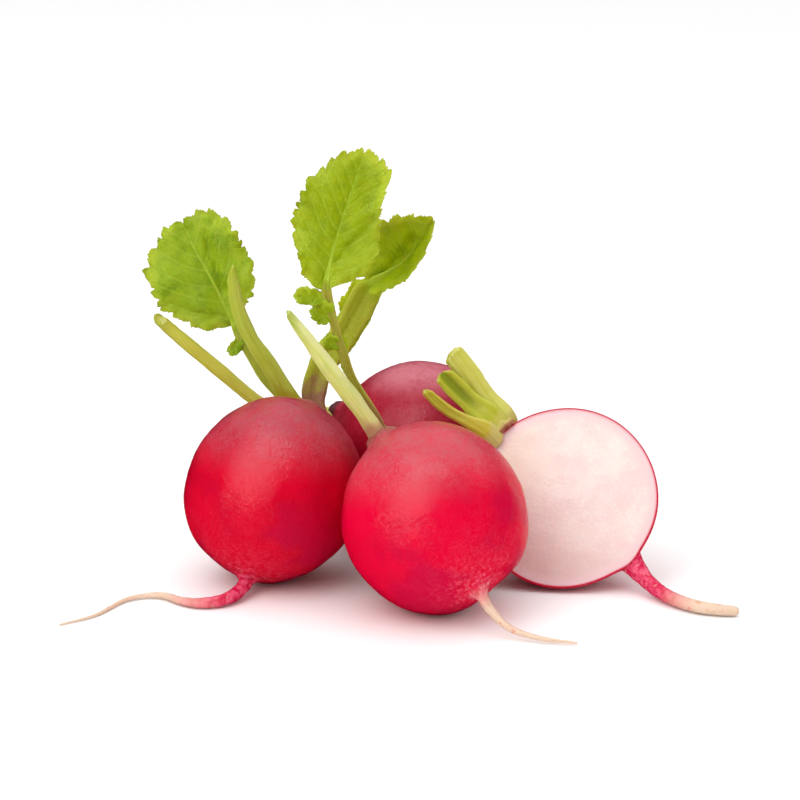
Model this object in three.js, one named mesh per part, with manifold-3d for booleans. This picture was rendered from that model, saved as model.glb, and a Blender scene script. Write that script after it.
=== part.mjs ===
// A loose bunch of radishes lying on a table: three whole roots, one root cut in half, their trimmed leaf
// stalks and three young leaves. Millimetres, +Z up, +X to the right, +Y to the back. The origin is on the
// table, under the middle of the bunch.
import * as THREE from 'three';
import Module from 'manifold-3d';

const wasm = await Module();
wasm.setup();

// ---- Driving dimensions (mm) ----
const GAP = 0.35;             // clearance between a stalk and the crown it grows from
const SKIN = 0.8;             // thickness of the half root's skin
const SKIN_GAP = 0.3;         // clearance between that skin and the flesh in it
const BLADE = 0.65;           // thickness of a leaf blade
const CENTRE_Y = -1.0;        // shift that centres the bunch front to back

// Mesh fineness
const BULB_SIDES = 28;
const BULB_RINGS = 18;
const TAIL_SIDES = 9;
const TAIL_STEPS = 3;         // rings between two stations
const STALK_SIDES = 10;
const STALK_STEPS = 2;        // rings between two stations
const TEETH_STEPS = 3;        // margin points a tooth
const BLADE_RINGS = 3;
const ARC_STEPS = 20;         // steps between two stations where a curve's length is measured
const COLLAR_SIDES = 14;

// How a bulb departs from a ball: how far it swells near its crown, as a share of its radius, and over what
// angle, in radians, and how uneven it is.
const CROWN_SWELL = { size: 0.035, width: 0.42 };
const CROWN_DIP = { size: -0.012, width: 1.0 };
const UNEVEN = { broad: 0.008, fine: 0.006 };
const POLE_CROWDING = 0.07;   // how far the rings crowd towards the poles

// The collar's rings: height and radius, as shares of its own. The first two lie under the bulb's skin.
const COLLAR_PROFILE = [[-1.5, 1.4], [-0.2, 1.25], [0.3, 1.1], [0.65, 1.0], [1.0, 0.86]];
const KNOBS = { count: 5, size: 0.06 };

const GROOVE_WIDTH = 0.55;    // width of a stalk's channel, as a share of half the stalk's

// A blade's margin: how uneven the widths and the sizes of its teeth are, how steep a tooth's long side is,
// how far a tooth lies inside the outline, and the share of the way round from the tip that has teeth.
const TEETH = { shift: 0.1, uneven: 0.4, steep: 0.7, inset: 0.6, until: 0.9 };
const WAVE_START = 0.7;       // where along its margin a blade's waves begin, in radians
const RING_CROWDING = 0.75;   // how far a blade's rings crowd towards its margin
const NEAR_CENTRE = 0.01;     // reach of a blade's middle point
const CENTRE_REACH = 0.5;     // reach at which the blade's lie is taken for that point

// ---- Colours ----
const RED = { color: 0xc8143c, roughness: 0.38, metalness: 0 };
const DULL_RED = { color: 0xb42846, roughness: 0.42, metalness: 0 };
const FLESH = { color: 0xf6ece4, roughness: 0.55, metalness: 0 };
const STALK = { color: 0xb9c25a, roughness: 0.5, metalness: 0 };
const LEAF = { color: 0x8fb52a, roughness: 0.5, metalness: 0 };

// ---- The four roots ----
// crown and root are the directions of the two poles, and swells are the bulges and dents near the root, each
// a direction, a size and a width. lean is the direction in which the whole bulb is drawn out, by the factor
// stretch. collar is the low knobbly rim that the stalks grow from. tail holds the run of the
// taproot, with its radius as the fourth number.
const LEFT = {
  centre: [-21.9, -0.7, 15.95], radius: 15.5,
  crown: [0.28, 0.77, 0.58], root: [-0.27, -0.5, -0.82],
  swells: [[-0.64, -0.22, -0.74, -0.03, 0.42], [0.71, -0.2, -0.68, -0.02, 0.35]],
  lean: [0.55, 0.2, 0.8], stretch: 1.07,
  collar: { way: [0.28, 0.77, 0.58], radius: 3.5, height: 2.0 },
  tail: [[-24.5, -5.5, 5.0, 2.4], [-26.1, -8.4, 2.8, 1.3], [-27.8, -12.8, 1.6, 1.15],
    [-30.2, -16.0, 1.4, 1.1], [-33.8, -17.1, 1.2, 1.0], [-37.0, -16.0, 1.2, 0.9], [-41.5, -13.5, 1.0, 0.7],
    [-46.5, -14.3, 0.9, 0.5], [-52.0, -19.7, 0.7, 0.4], [-57.4, -25.9, 0.5, 0.25]],
};
const FRONT = {
  centre: [5.9, -16.5, 16.05], radius: 15.85,
  crown: [-0.5, 0.63, 0.6], root: [0.45, -0.72, -0.53],
  swells: [[0.45, -0.72, -0.53, -0.02, 0.42], [0.67, -0.21, -0.71, -0.075, 0.34],
    [-0.63, -0.22, -0.75, -0.012, 0.4]],
  lean: [-0.46, 0.25, 0.85], stretch: 1.05,
  collar: { way: [-0.5, 0.65, 0.58], radius: 2.9, height: 2.2 },
  tail: [[11.6, -25.0, 9.5, 2.6], [13.2, -27.2, 7.1, 1.3], [15.2, -29.0, 4.1, 0.95],
    [18.2, -31.4, 1.9, 0.75], [23.2, -33.7, 0.9, 0.5], [29.4, -34.9, 0.5, 0.2]],
};
const BACK = {
  centre: [3.5, 20.4, 16.2], radius: 16.35,
  crown: [-0.92, 0.24, 0.32], root: [0.9, 0.2, -0.38],
  swells: [[0.9, 0.2, -0.38, 0.01, 0.42]],
  lean: [0.3, 0.2, 0.9], stretch: 1.01,
  collar: { way: [-0.92, 0.3, 0.25], radius: 3.0, height: 1.6 },
  tail: [[15.5, 23.0, 11.4, 2.6], [18.4, 23.8, 9.4, 1.4], [21.2, 24.6, 5.6, 1.15],
    [24.0, 25.4, 2.3, 1.0], [28.0, 26.2, 1.1, 0.8], [34.0, 26.0, 0.8, 0.55], [40.5, 23.6, 0.5, 0.25]],
};
const HALF = {
  centre: [28.8, -3.9, 15.98], radius: 16.25,
  crown: [-0.63, 0.58, 0.52], root: [0.686, -0.214, -0.695],
  swells: [[0.69, -0.21, -0.7, -0.022, 0.55]],
  lean: [0.0, 0.0, 1.0], stretch: 1.0,
  collar: { way: [-0.7, 0.4, 0.6], radius: 2.7, height: 2.3 },
  tail: [[37.9, -6.0, 7.3, 2.6], [40.3, -7.0, 4.6, 1.6], [42.6, -9.4, 2.5, 1.3], [45.1, -13.6, 1.6, 1.2],
    [48.1, -17.3, 1.35, 1.1], [51.3, -19.7, 1.25, 1.05], [54.6, -20.7, 1.2, 1.05], [57.6, -21.0, 1.15, 1.0]],
};
// The knife's plane through the half root: a point on it, and its outward normal.
const CUT = { point: [28.9, -1.85, 15.0], normal: [-0.092, -0.873, 0.479] };

// ---- Stalks ----
// route: stations from base to tip, each a place, a width and a depth. face: the side that the channel is
// on. slant: how far the cut at the tip runs back across the width.
const STALKS = {
  left_stalk_low: {
    on: LEFT, face: [0.5, 0.3, 0.8], channel: 0.3, slant: -1.0,
    route: [[-19.3, 13.5, 25.5, 2.6, 2.1], [-21.8, 14.1, 26.4, 2.8, 2.5], [-25.2, 14.8, 27.8, 3.0, 2.8],
      [-31.8, 15.6, 33.2, 3.3, 2.8], [-39.5, 14.8, 40.2, 3.0, 2.7], [-42.8, 14.6, 43.3, 3.1, 2.2]],
  },
  left_stalk_high: {
    on: LEFT, face: [0.3, 0.9, 0.1], channel: 0.3, slant: 0.8,
    route: [[-17.9, 11.7, 26.1, 3.5, 2.4], [-20.1, 12.2, 29.4, 3.8, 2.4], [-22.9, 12.0, 34.7, 3.2, 2.2],
      [-26.2, 11.5, 40.1, 2.6, 2.0], [-28.3, 11.0, 45.4, 2.8, 1.9], [-29.2, 10.5, 50.8, 2.0, 1.4],
      [-29.3, 10.1, 53.6, 0.8, 0.8]],
  },
  front_stalk: {
    on: FRONT, face: [0.4, 0.85, 0.3], channel: 0.25, slant: 0.4,
    route: [[-2.7, -5.8, 25.8, 3.2, 2.2], [-4.9, -6.2, 29.6, 3.3, 2.2], [-7.4, -6.5, 33.4, 3.3, 2.1],
      [-11.6, -6.7, 39.2, 3.4, 2.0], [-15.9, -6.9, 45.4, 2.7, 1.8], [-19.2, -7.0, 50.0, 1.2, 1.0]],
  },
  back_stalk_1: {
    on: BACK, face: [0.2, 0.0, 1.0], channel: 0.3, slant: 0.8,
    route: [[-12.2, 22.8, 22.2, 2.8, 2.0], [-15.6, 24.6, 21.9, 2.8, 1.9], [-20.5, 28.0, 20.6, 2.6, 1.8]],
  },
  back_stalk_2: {
    on: BACK, face: [0.3, 0.3, 0.9], channel: 0.3, slant: -0.6,
    route: [[-11.2, 26.4, 21.6, 2.5, 1.8], [-13.4, 29.0, 21.6, 2.4, 1.7], [-16.4, 33.0, 20.4, 2.2, 1.6]],
  },
  back_stalk_3: {
    on: BACK, face: [-0.3, 0.0, 0.9], channel: 0.25, slant: 0.5,
    route: [[-12.4, 24.6, 19.4, 2.2, 1.7], [-15.6, 26.4, 18.4, 2.0, 1.6], [-19.4, 29.0, 16.6, 1.9, 1.5]],
  },
  half_stalk_1: {
    on: HALF, face: [0.2, 0.8, -0.4], channel: 0.25, slant: 0.6,
    route: [[18.3, 7.9, 24.7, 3.0, 1.7], [17.2, 7.8, 26.6, 3.2, 1.7], [15.5, 8.1, 29.1, 3.3, 1.7],
      [12.5, 8.8, 33.9, 3.4, 1.6], [9.0, 9.6, 38.3, 3.3, 1.4]],
  },
  half_stalk_2: {
    on: HALF, face: [0.3, -0.9, 0.3], channel: 0.55, slant: 0.3,
    route: [[17.0, 5.7, 24.9, 2.4, 1.6], [15.2, 5.6, 27.3, 2.6, 1.6], [13.6, 5.7, 28.8, 2.8, 1.7],
      [9.8, 6.2, 32.5, 2.9, 1.7], [7.2, 6.4, 35.2, 2.6, 1.5]],
  },
  half_stalk_3: {
    on: HALF, face: [0.2, -0.9, 0.3], channel: 0.2, slant: 0.4,
    route: [[16.6, 4.2, 23.5, 1.8, 1.5], [14.8, 3.5, 25.6, 1.9, 1.6], [12.4, 3.0, 27.1, 1.9, 1.6],
      [8.7, 2.9, 29.2, 2.0, 1.6], [6.1, 2.5, 31.4, 1.9, 1.6], [4.3, 2.2, 33.4, 1.6, 1.4]],
  },
};

// ---- Leaves ----
// stalk and rib: stations as above, the blade's foot being the stalk's last one. face: the blade's upper
// side. A blade's outline is radii, at equal angles about a point that lies centre past the foot, starting
// at the tip and going round by the left side. fold: how far the left and right halves rise, in radians.
// curl: how fast the margins droop. ruffle: height of the waves along the margin.
const LEAVES = {
  left_leaf_round: {
    on: LEFT, face: [-0.1, -0.97, 0.2], channel: 0.2,
    stalk: [[-17.4, 15.4, 23.2, 1.9, 1.7], [-20.0, 17.6, 26.2, 1.8, 1.6], [-24.2, 17.9, 31.1, 1.8, 1.5],
      [-26.7, 18.1, 35.4, 1.7, 1.4], [-28.8, 18.2, 39.4, 1.6, 1.3]],
    rib: [[-30.2, 18.6, 42.1, 1.3, 1.1], [-33.4, 19.8, 48.6, 1.0, 0.9], [-36.8, 21.6, 54.5, 0.7, 0.8],
      [-37.9, 22.6, 56.8, 0.4, 0.6]],
    blade: {
      centre: 12.4, teeth: 24, tooth: 0.1, fold: [0.12, 0.16], curl: 0.012, ruffle: 0.8, waves: 5,
      radii: [9.9, 10.2, 10.3, 10.7, 10.7, 10.6, 10.6, 10.8, 10.6, 9.6, 8.8, 8.4, 8.1, 8.8, 10.6, 10.6],
    },
    leaflets: [
      {
        route: [[-28.4, 18.0, 38.0], [-30.0, 17.4, 35.6]],
        blade: { centre: 1.4, teeth: 5, tooth: 0.12, fold: [0.1, 0.1], curl: 0.02, ruffle: 0.2, waves: 2,
          radii: [1.6, 1.5, 1.3, 1.4, 1.6, 1.4, 1.3, 1.5] },
      },
    ],
  },
  left_leaf_folded: {
    on: LEFT, face: [-0.1, -0.96, 0.2], channel: 0.5,
    stalk: [[-15.3, 12.6, 25.2, 3.2, 2.2], [-15.3, 14.6, 29.5, 4.4, 2.4], [-13.8, 16.0, 34.2, 4.5, 2.4],
      [-10.1, 16.6, 39.0, 4.8, 2.3], [-7.5, 16.8, 43.8, 5.2, 2.2], [-5.9, 16.6, 47.0, 5.2, 2.0]],
    rib: [[-2.6, 16.3, 50.0, 2.4, 1.4], [0.6, 15.6, 52.6, 1.2, 1.0], [3.5, 14.2, 56.7, 0.8, 0.8],
      [5.2, 12.8, 59.9, 0.5, 0.6]],
    blade: {
      centre: 8.8, teeth: 16, tooth: 0.1, fold: [0.15, 1.1], curl: -0.012, ruffle: 0.5, waves: 4,
      radii: [10.9, 10.5, 9.4, 7.2, 6.0, 6.8, 8.2, 7.2, 5.8, 5.6, 6.1, 8.5],
    },
    leaflets: [],
  },
  front_leaf_tall: {
    on: FRONT, face: [0.12, -0.97, 0.1], channel: 0.25,
    stalk: [[-2.4, -3.4, 26.2, 1.7, 1.5], [-3.9, -3.4, 29.6, 1.8, 1.5], [-8.3, -2.8, 37.1, 1.6, 1.4],
      [-9.9, -2.2, 41.8, 1.5, 1.3], [-11.3, -1.8, 46.4, 1.5, 1.3], [-12.6, -1.2, 52.5, 1.7, 1.3]],
    rib: [[-12.3, -0.6, 55.4, 1.5, 1.2], [-11.2, 0.4, 59.9, 1.1, 1.0], [-8.9, 2.2, 67.0, 0.8, 0.8],
      [-6.6, 4.2, 73.6, 0.4, 0.6]],
    blade: {
      centre: 12.5, teeth: 26, tooth: 0.09, fold: [0.12, 0.25], curl: 0.01, ruffle: 0.9, waves: 5,
      radii: [12.1, 10.5, 9.1, 8.5, 8.3, 8.6, 9.3, 11.3, 12.5, 11.7, 9.9, 8.3, 7.1, 6.7, 8.3, 12.1],
    },
    leaflets: [
      {
        route: [[-12.4, -1.4, 50.6], [-18.0, -2.2, 51.4]],
        blade: { centre: 3.2, teeth: 6, tooth: 0.1, fold: [0.1, 0.1], curl: 0.02, ruffle: 0.3, waves: 2,
          radii: [2.7, 2.0, 1.4, 1.9, 2.8, 2.1, 1.7, 2.3] },
      },
      {
        route: [[-11.6, -1.8, 47.4], [-14.9, -2.0, 48.5]],
        blade: { centre: 1.6, teeth: 5, tooth: 0.1, fold: [0.1, 0.1], curl: 0.02, ruffle: 0.2, waves: 2,
          radii: [2.2, 1.9, 1.6, 1.6, 1.6, 1.7, 1.9, 2.1] },
      },
      {
        route: [[-10.2, -2.2, 42.6], [-12.9, -2.6, 43.6]],
        blade: { centre: 1.3, teeth: 4, tooth: 0.1, fold: [0.1, 0.1], curl: 0.02, ruffle: 0.2, waves: 2,
          radii: [1.7, 1.6, 1.3, 1.2, 1.2, 1.3, 1.5, 1.7] },
      },
    ],
  },
};

// ---- Small helpers ----
const vec = (a) => new THREE.Vector3(a[0], a[1], a[2]);
const unit = (a) => vec(a).normalize();
const bell = (x, width) => Math.exp(-((x / width) ** 2));
const swelling = ({ size, width }, angle) => size * bell(angle, width);

/** The number in column at share u of a route's stations. */
function stationValue(route, column, u) {
  const at = u * (route.length - 1);
  const from = Math.min(Math.floor(at), route.length - 2);
  return THREE.MathUtils.lerp(route[from][column], route[from + 1][column], at - from);
}

/** A closed solid from points and triangles that face out. */
function solid(points, faces) {
  const vertProperties = new Float32Array(points.flatMap((p) => [p.x, p.y, p.z]));
  return new wasm.Manifold(new wasm.Mesh({ numProp: 3, vertProperties, triVerts: new Uint32Array(faces) }));
}

/** A closed solid through rings of points, each going round the way ahead, shut by a fan at both ends. */
function loft(rings, first = middle(rings[0]), last = middle(rings.at(-1))) {
  const sides = rings[0].length;
  const points = [...rings.flat(), first, last];
  const faces = [];
  for (let i = 0; i < sides; i++) {
    const j = (i + 1) % sides;
    const top = (rings.length - 1) * sides;
    faces.push(points.length - 2, j, i, points.length - 1, top + i, top + j);
    for (let k = 0; k < top; k += sides) {
      faces.push(k + i, k + j, k + sides + j, k + i, k + sides + j, k + sides + i);
    }
  }
  return solid(points, faces);
}

function middle(ring) {
  return ring.reduce((sum, p) => sum.add(p), new THREE.Vector3()).divideScalar(ring.length);
}

/** A smooth curve through hand-placed points. */
function curveThrough(route) {
  return new THREE.CatmullRomCurve3(route.map(vec), false, 'centripetal');
}

/** Way ahead t, left l and face n at share u of a curve, the face being as near as can be to the one given. */
function frameAt(curve, u, face) {
  const t = curve.getTangent(u);
  const n = face.clone().addScaledVector(t, -face.dot(t)).normalize();
  return { t, n, l: new THREE.Vector3().crossVectors(n, t) };
}

// ---- Roots ----
/** Distance from a bulb's centre to its skin along a direction: drawn out at the two poles, a little uneven. */
function bulbReach(bulb, way) {
  const toCrown = way.angleTo(unit(bulb.crown));
  const crown = swelling(CROWN_SWELL, toCrown) + swelling(CROWN_DIP, toCrown);
  const root = bulb.swells.reduce((sum, [x, y, z, size, width]) => (
    sum + swelling({ size, width }, way.angleTo(unit([x, y, z])))), 0);
  const broad = UNEVEN.broad * Math.sin(3 * way.x + 2 * way.z);
  const fine = UNEVEN.fine * Math.sin(4 * way.y - 3 * way.x + 1);
  return bulb.radius * (1 + crown + root + broad + fine);
}

/** A bulb's body, grown by the amount grow. */
function bulbBody(bulb, grow = 0) {
  const centre = vec(bulb.centre);
  const lean = unit(bulb.lean);
  const up = unit(bulb.crown).sub(unit(bulb.root)).normalize();
  const side = new THREE.Vector3(0, 0, 1).cross(up).normalize();
  const front = up.clone().cross(side);
  const skinPoint = (way) => {
    const p = way.clone().multiplyScalar(bulbReach(bulb, way) + grow);
    return p.addScaledVector(lean, (bulb.stretch - 1) * p.dot(lean)).add(centre);
  };
  const rings = [];
  for (let k = 1; k < BULB_RINGS; k++) {
    const share = k / BULB_RINGS;
    const polar = Math.PI * (share - POLE_CROWDING * Math.sin(2 * Math.PI * share));
    rings.push(Array.from({ length: BULB_SIDES }, (_, i) => {
      const around = (2 * Math.PI * i) / BULB_SIDES;
      const way = up.clone().multiplyScalar(-Math.cos(polar));
      way.addScaledVector(side, Math.sin(polar) * Math.cos(around));
      return skinPoint(way.addScaledVector(front, Math.sin(polar) * Math.sin(around)));
    }));
  }
  return loft(rings, skinPoint(up.clone().negate()), skinPoint(up));
}

/** The middle of a bulb's crown, on its skin. */
function collarFoot(bulb) {
  const pole = unit(bulb.crown);
  return vec(bulb.centre).addScaledVector(pole, bulbReach(bulb, pole));
}

/** The low knobbly collar that the leaf stalks grow from. */
function collarBody(bulb, grow = 0) {
  const { radius, height } = bulb.collar;
  const way = unit(bulb.collar.way);
  const foot = collarFoot(bulb);
  const side = new THREE.Vector3(0, 0, 1).cross(way).normalize();
  const front = way.clone().cross(side);
  const rings = COLLAR_PROFILE.map(([up, size]) => Array.from({ length: COLLAR_SIDES }, (_, i) => {
    const around = (2 * Math.PI * i) / COLLAR_SIDES;
    const r = radius * size * (1 + KNOBS.size * Math.cos(KNOBS.count * around)) + grow;
    const p = foot.clone().addScaledVector(way, up * height + grow);
    return p.addScaledVector(side, r * Math.cos(around)).addScaledVector(front, r * Math.sin(around));
  }));
  return loft(rings);
}

/** The taproot, thinning along its run. */
function tailBody(bulb) {
  const route = bulb.tail;
  const curve = curveThrough(route);
  const steps = TAIL_STEPS * (route.length - 1);
  const rings = [];
  for (let k = 0; k <= steps; k++) {
    const u = k / steps;
    const radius = stationValue(route, 3, u);
    const { n, l } = frameAt(curve, u, new THREE.Vector3(0, 0, 1));
    rings.push(Array.from({ length: TAIL_SIDES }, (_, i) => {
      const around = (2 * Math.PI * i) / TAIL_SIDES;
      return curve.getPoint(u).addScaledVector(l, radius * Math.cos(around))
        .addScaledVector(n, radius * Math.sin(around));
    }));
  }
  return loft(rings);
}

/** A box that holds all that lies on one side of a plane, near the bunch. */
function farSide(point, normal) {
  const reach = 60;
  const box = new THREE.BoxGeometry(2 * reach, 2 * reach, reach);
  box.translate(0, 0, reach / 2);
  box.applyQuaternion(new THREE.Quaternion().setFromUnitVectors(new THREE.Vector3(0, 0, 1), unit(normal)));
  box.translate(...point);
  const at = box.attributes.position;
  const corners = [];
  const seen = new Map();
  const index = Array.from(box.index.array, (i) => {
    const key = [at.getX(i), at.getY(i), at.getZ(i)].map((x) => x.toFixed(3)).join();
    if (!seen.has(key)) {
      seen.set(key, corners.length);
      corners.push(new THREE.Vector3().fromBufferAttribute(at, i));
    }
    return seen.get(key);
  });
  return solid(corners, index);
}

const TABLE = farSide([0, 0, 0], [0, 0, -1]);

/** A whole root: bulb, collar and taproot in one piece, with a small flat where it rests. */
function wholeRoot(bulb) {
  return bulbBody(bulb).add(collarBody(bulb)).add(tailBody(bulb)).subtract(TABLE);
}

/** The half root's skin: a thin bowl that keeps the whole collar and taproot. */
function halfSkin() {
  const cutOff = farSide(CUT.point, CUT.normal);
  const hollow = bulbBody(HALF, -SKIN).subtract(farSide(along(CUT.point, CUT.normal, SKIN), CUT.normal));
  const back = vec(HALF.collar.way).negate().toArray();
  const collar = collarBody(HALF).subtract(farSide(collarFoot(HALF).toArray(), back).intersect(cutOff));
  const tail = tailBody(HALF).subtract(bulbBody(HALF, SKIN_GAP).intersect(cutOff));
  const bowl = bulbBody(HALF).subtract(cutOff).add(collar).add(tail);
  return largest(bowl.subtract(hollow).subtract(TABLE));
}

/** The half root's flesh, flush with the skin at the cut. */
function halfFlesh() {
  return bulbBody(HALF, -SKIN - SKIN_GAP).subtract(farSide(CUT.point, CUT.normal));
}

function along(point, way, distance) {
  return vec(point).addScaledVector(unit(way), distance).toArray();
}

/** The biggest of a solid's separate pieces. */
function largest(body) {
  return body.decompose().reduce((a, b) => (a.volume() > b.volume() ? a : b));
}

/** What is left of a stalk or leaf outside the crown that it grows from. */
function clearOfCrown(body, bulb) {
  return largest(body.subtract(bulbBody(bulb, GAP)).subtract(collarBody(bulb, GAP)));
}

// ---- Stalks and leaves ----
/** A leaf stalk: flattened, with a channel along its upper side, cut slantwise at the tip. */
function stalkBody({ route, face, channel, slant = 0 }) {
  const curve = curveThrough(route);
  const steps = STALK_STEPS * (route.length - 1);
  const rings = [];
  for (let k = 0; k <= steps; k++) {
    const u = k / steps;
    const { t, n, l } = frameAt(curve, u, vec(face));
    const w = stationValue(route, 3, u) / 2;
    const d = stationValue(route, 4, u) / 2;
    const lengthen = k === steps ? slant : 0;
    rings.push(Array.from({ length: STALK_SIDES }, (_, i) => {
      const around = (2 * Math.PI * (i + 0.5)) / STALK_SIDES;
      const across = Math.cos(around);
      const groove = Math.sin(around) > 0 ? channel * bell(across, GROOVE_WIDTH) : 0;
      return curve.getPoint(u).addScaledVector(l, w * across)
        .addScaledVector(n, d * (Math.sin(around) - 2 * groove))
        .addScaledVector(t, lengthen * across);
    }));
  }
  return loft(rings);
}

/** Radius of a toothless blade outline at an angle, smoothly between its radii. */
function outlineReach(radii, angle) {
  const at = (angle / (2 * Math.PI)) * radii.length;
  const k = Math.floor(at);
  const f = at - k;
  const [a, b, c, d] = [-1, 0, 1, 2].map((step) => radii[(k + step + radii.length) % radii.length]);
  return b + 0.5 * f * (c - a + f * (2 * a - 5 * b + 4 * c - d + f * (3 * (b - c) + d - a)));
}

/** Angle of margin point i of count, the teeth being of uneven width. */
function marginAngle(i, count) {
  const even = (2 * Math.PI * i) / count;
  return even + TEETH.shift * Math.sin(even) * Math.sin(5 * even + 1);
}

/** Share by which margin point i of count stands out: rising over a tooth, then back at once near the tip. */
function toothReach(i, count, tooth) {
  const fromTip = Math.min(i, count - i);
  if (fromTip > (TEETH.until * count) / 2) return 1;
  const share = ((count / 2 - fromTip) % TEETH_STEPS) / (TEETH_STEPS - 1);
  const size = tooth * (1 + TEETH.uneven * Math.sin(2.3 * i));
  return 1 + size * (share ** TEETH.steep - TEETH.inset);
}

/** The point and frame at arc length s past a blade's foot, and straight on where the curve ends. */
function midribPoint(curve, foot, face, s) {
  const length = curve.getLength();
  const share = THREE.MathUtils.clamp(foot + s / length, 0, 1);
  const u = curve.getUtoTmapping(share);
  const frame = frameAt(curve, u, face);
  const beyond = (foot - share) * length + s;
  return { at: curve.getPoint(u).addScaledVector(frame.t, beyond), ...frame };
}

/** The middle surface of a folded and ruffled blade, as a function of angle and reach from its centre. */
function bladeSurface(curve, foot, face, blade) {
  return (angle, reach) => {
    const left = reach * Math.sin(angle);
    const { at, n, l } = midribPoint(curve, foot, face, blade.centre + reach * Math.cos(angle));
    const fold = left > 0 ? blade.fold[0] : blade.fold[1];
    const share = reach / outlineReach(blade.radii, angle);
    const wave = Math.sin(blade.waves * angle + WAVE_START) * Math.abs(Math.sin(angle));
    const rise = Math.abs(left) * Math.sin(fold) - blade.curl * left * left + blade.ruffle * share * share * wave;
    return at.addScaledVector(l, left * Math.cos(fold)).addScaledVector(n, rise);
  };
}

/** The unit normal of a blade's surface, taken from one side of the midrib where that is a crease. */
function bladeNormal(surface, angle, reach) {
  const step = 0.02;
  const side = THREE.MathUtils.clamp(angle % Math.PI, step, Math.PI - step) + (angle < Math.PI ? 0 : Math.PI);
  const out = surface(side, reach + step).sub(surface(side, reach - step));
  return out.cross(surface(side + step / 2, reach).sub(surface(side - step / 2, reach))).normalize();
}

/** A thin blade along a curve, its foot at share foot of the curve's length, meshed alike on both faces. */
function bladeBody(curve, foot, face, blade) {
  const count = TEETH_STEPS * blade.teeth;
  const surface = bladeSurface(curve, foot, face, blade);
  const flat = [[0, NEAR_CENTRE]];
  for (let ring = 1; ring <= BLADE_RINGS; ring++) {
    const share = (ring / BLADE_RINGS) ** RING_CROWDING;
    for (let i = 0; i < count; i++) {
      const angle = marginAngle(i, count);
      const edge = ring === BLADE_RINGS ? toothReach(i, count, blade.tooth) : 1;
      flat.push([angle, outlineReach(blade.radii, angle) * share * edge]);
    }
  }
  const skin = (side) => flat.map(([angle, reach]) => {
    const normal = bladeNormal(surface, angle, Math.max(reach, CENTRE_REACH));
    return surface(angle, reach).addScaledVector(normal, (side * BLADE) / 2);
  });
  return solid([...skin(1), ...skin(-1)], bladeFaces(count, flat.length));
}

/** The triangles of a blade's two skins, the second from point under on, and of the rim between them. */
function bladeFaces(count, under) {
  const faces = [];
  const pair = (a, b, c) => faces.push(a, b, c, under + a, under + c, under + b);
  const rim = 1 + (BLADE_RINGS - 1) * count;
  for (let i = 0; i < count; i++) {
    const j = (i + 1) % count;
    pair(0, 1 + i, 1 + j);
    for (let inner = 1; inner < rim; inner += count) {
      const outer = inner + count;
      pair(inner + i, outer + i, outer + j);
      pair(inner + i, outer + j, inner + j);
    }
    faces.push(rim + i, under + rim + i, under + rim + j, rim + i, under + rim + j, rim + j);
  }
  return faces;
}

/** A leaf: stalk and midrib in one, its blade, and the leaflets lower on the stalk. */
function leafBody({ stalk, rib, face, channel, blade, leaflets }) {
  const route = [...stalk, ...rib];
  const curve = curveThrough(route);
  const lengths = curve.getLengths(ARC_STEPS * (route.length - 1));
  const foot = lengths[ARC_STEPS * (stalk.length - 1)] / lengths.at(-1);
  let body = stalkBody({ route, face, channel }).add(bladeBody(curve, foot, vec(face), blade));
  for (const leaflet of leaflets) {
    body = body.add(bladeBody(curveThrough(leaflet.route), 0, vec(face), leaflet.blade));
  }
  return body;
}

// ---- The bunch ----
/** A named mesh of a solid. */
function mesh(name, body, look) {
  const { vertProperties, triVerts, numProp } = body.getMesh();
  const geometry = new THREE.BufferGeometry();
  const positions = new Float32Array((vertProperties.length / numProp) * 3);
  for (let i = 0; i < positions.length; i++) {
    positions[i] = vertProperties[Math.floor(i / 3) * numProp + (i % 3)];
  }
  geometry.setAttribute('position', new THREE.BufferAttribute(positions, 3));
  geometry.setIndex(new THREE.BufferAttribute(Uint32Array.from(triVerts), 1));
  geometry.computeVertexNormals();
  const node = new THREE.Mesh(geometry, new THREE.MeshStandardMaterial(look));
  node.name = name;
  return node;
}

const bunch = new THREE.Group();
bunch.name = 'bunch_of_radishes';
bunch.position.y = CENTRE_Y;
bunch.add(mesh('left_root', wholeRoot(LEFT), RED));
bunch.add(mesh('front_root', wholeRoot(FRONT), RED));
bunch.add(mesh('back_root', wholeRoot(BACK), DULL_RED));
bunch.add(mesh('half_skin', halfSkin(), RED));
bunch.add(mesh('half_flesh', halfFlesh(), FLESH));
for (const [name, stalk] of Object.entries(STALKS)) {
  bunch.add(mesh(name, clearOfCrown(stalkBody(stalk), stalk.on), STALK));
}
for (const [name, leaf] of Object.entries(LEAVES)) {
  bunch.add(mesh(name, clearOfCrown(leafBody(leaf), leaf.on), LEAF));
}
bunch.updateMatrixWorld(true);

export default bunch;
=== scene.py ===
"""The looks of a loose bunch of radishes: finely meshed roots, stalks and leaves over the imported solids.

The forms are worked out in millimetres, from the values of the solids, with some of them refined to the
photo. They are moved into the frame, in metres, when a mesh is made.
"""
import math

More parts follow.
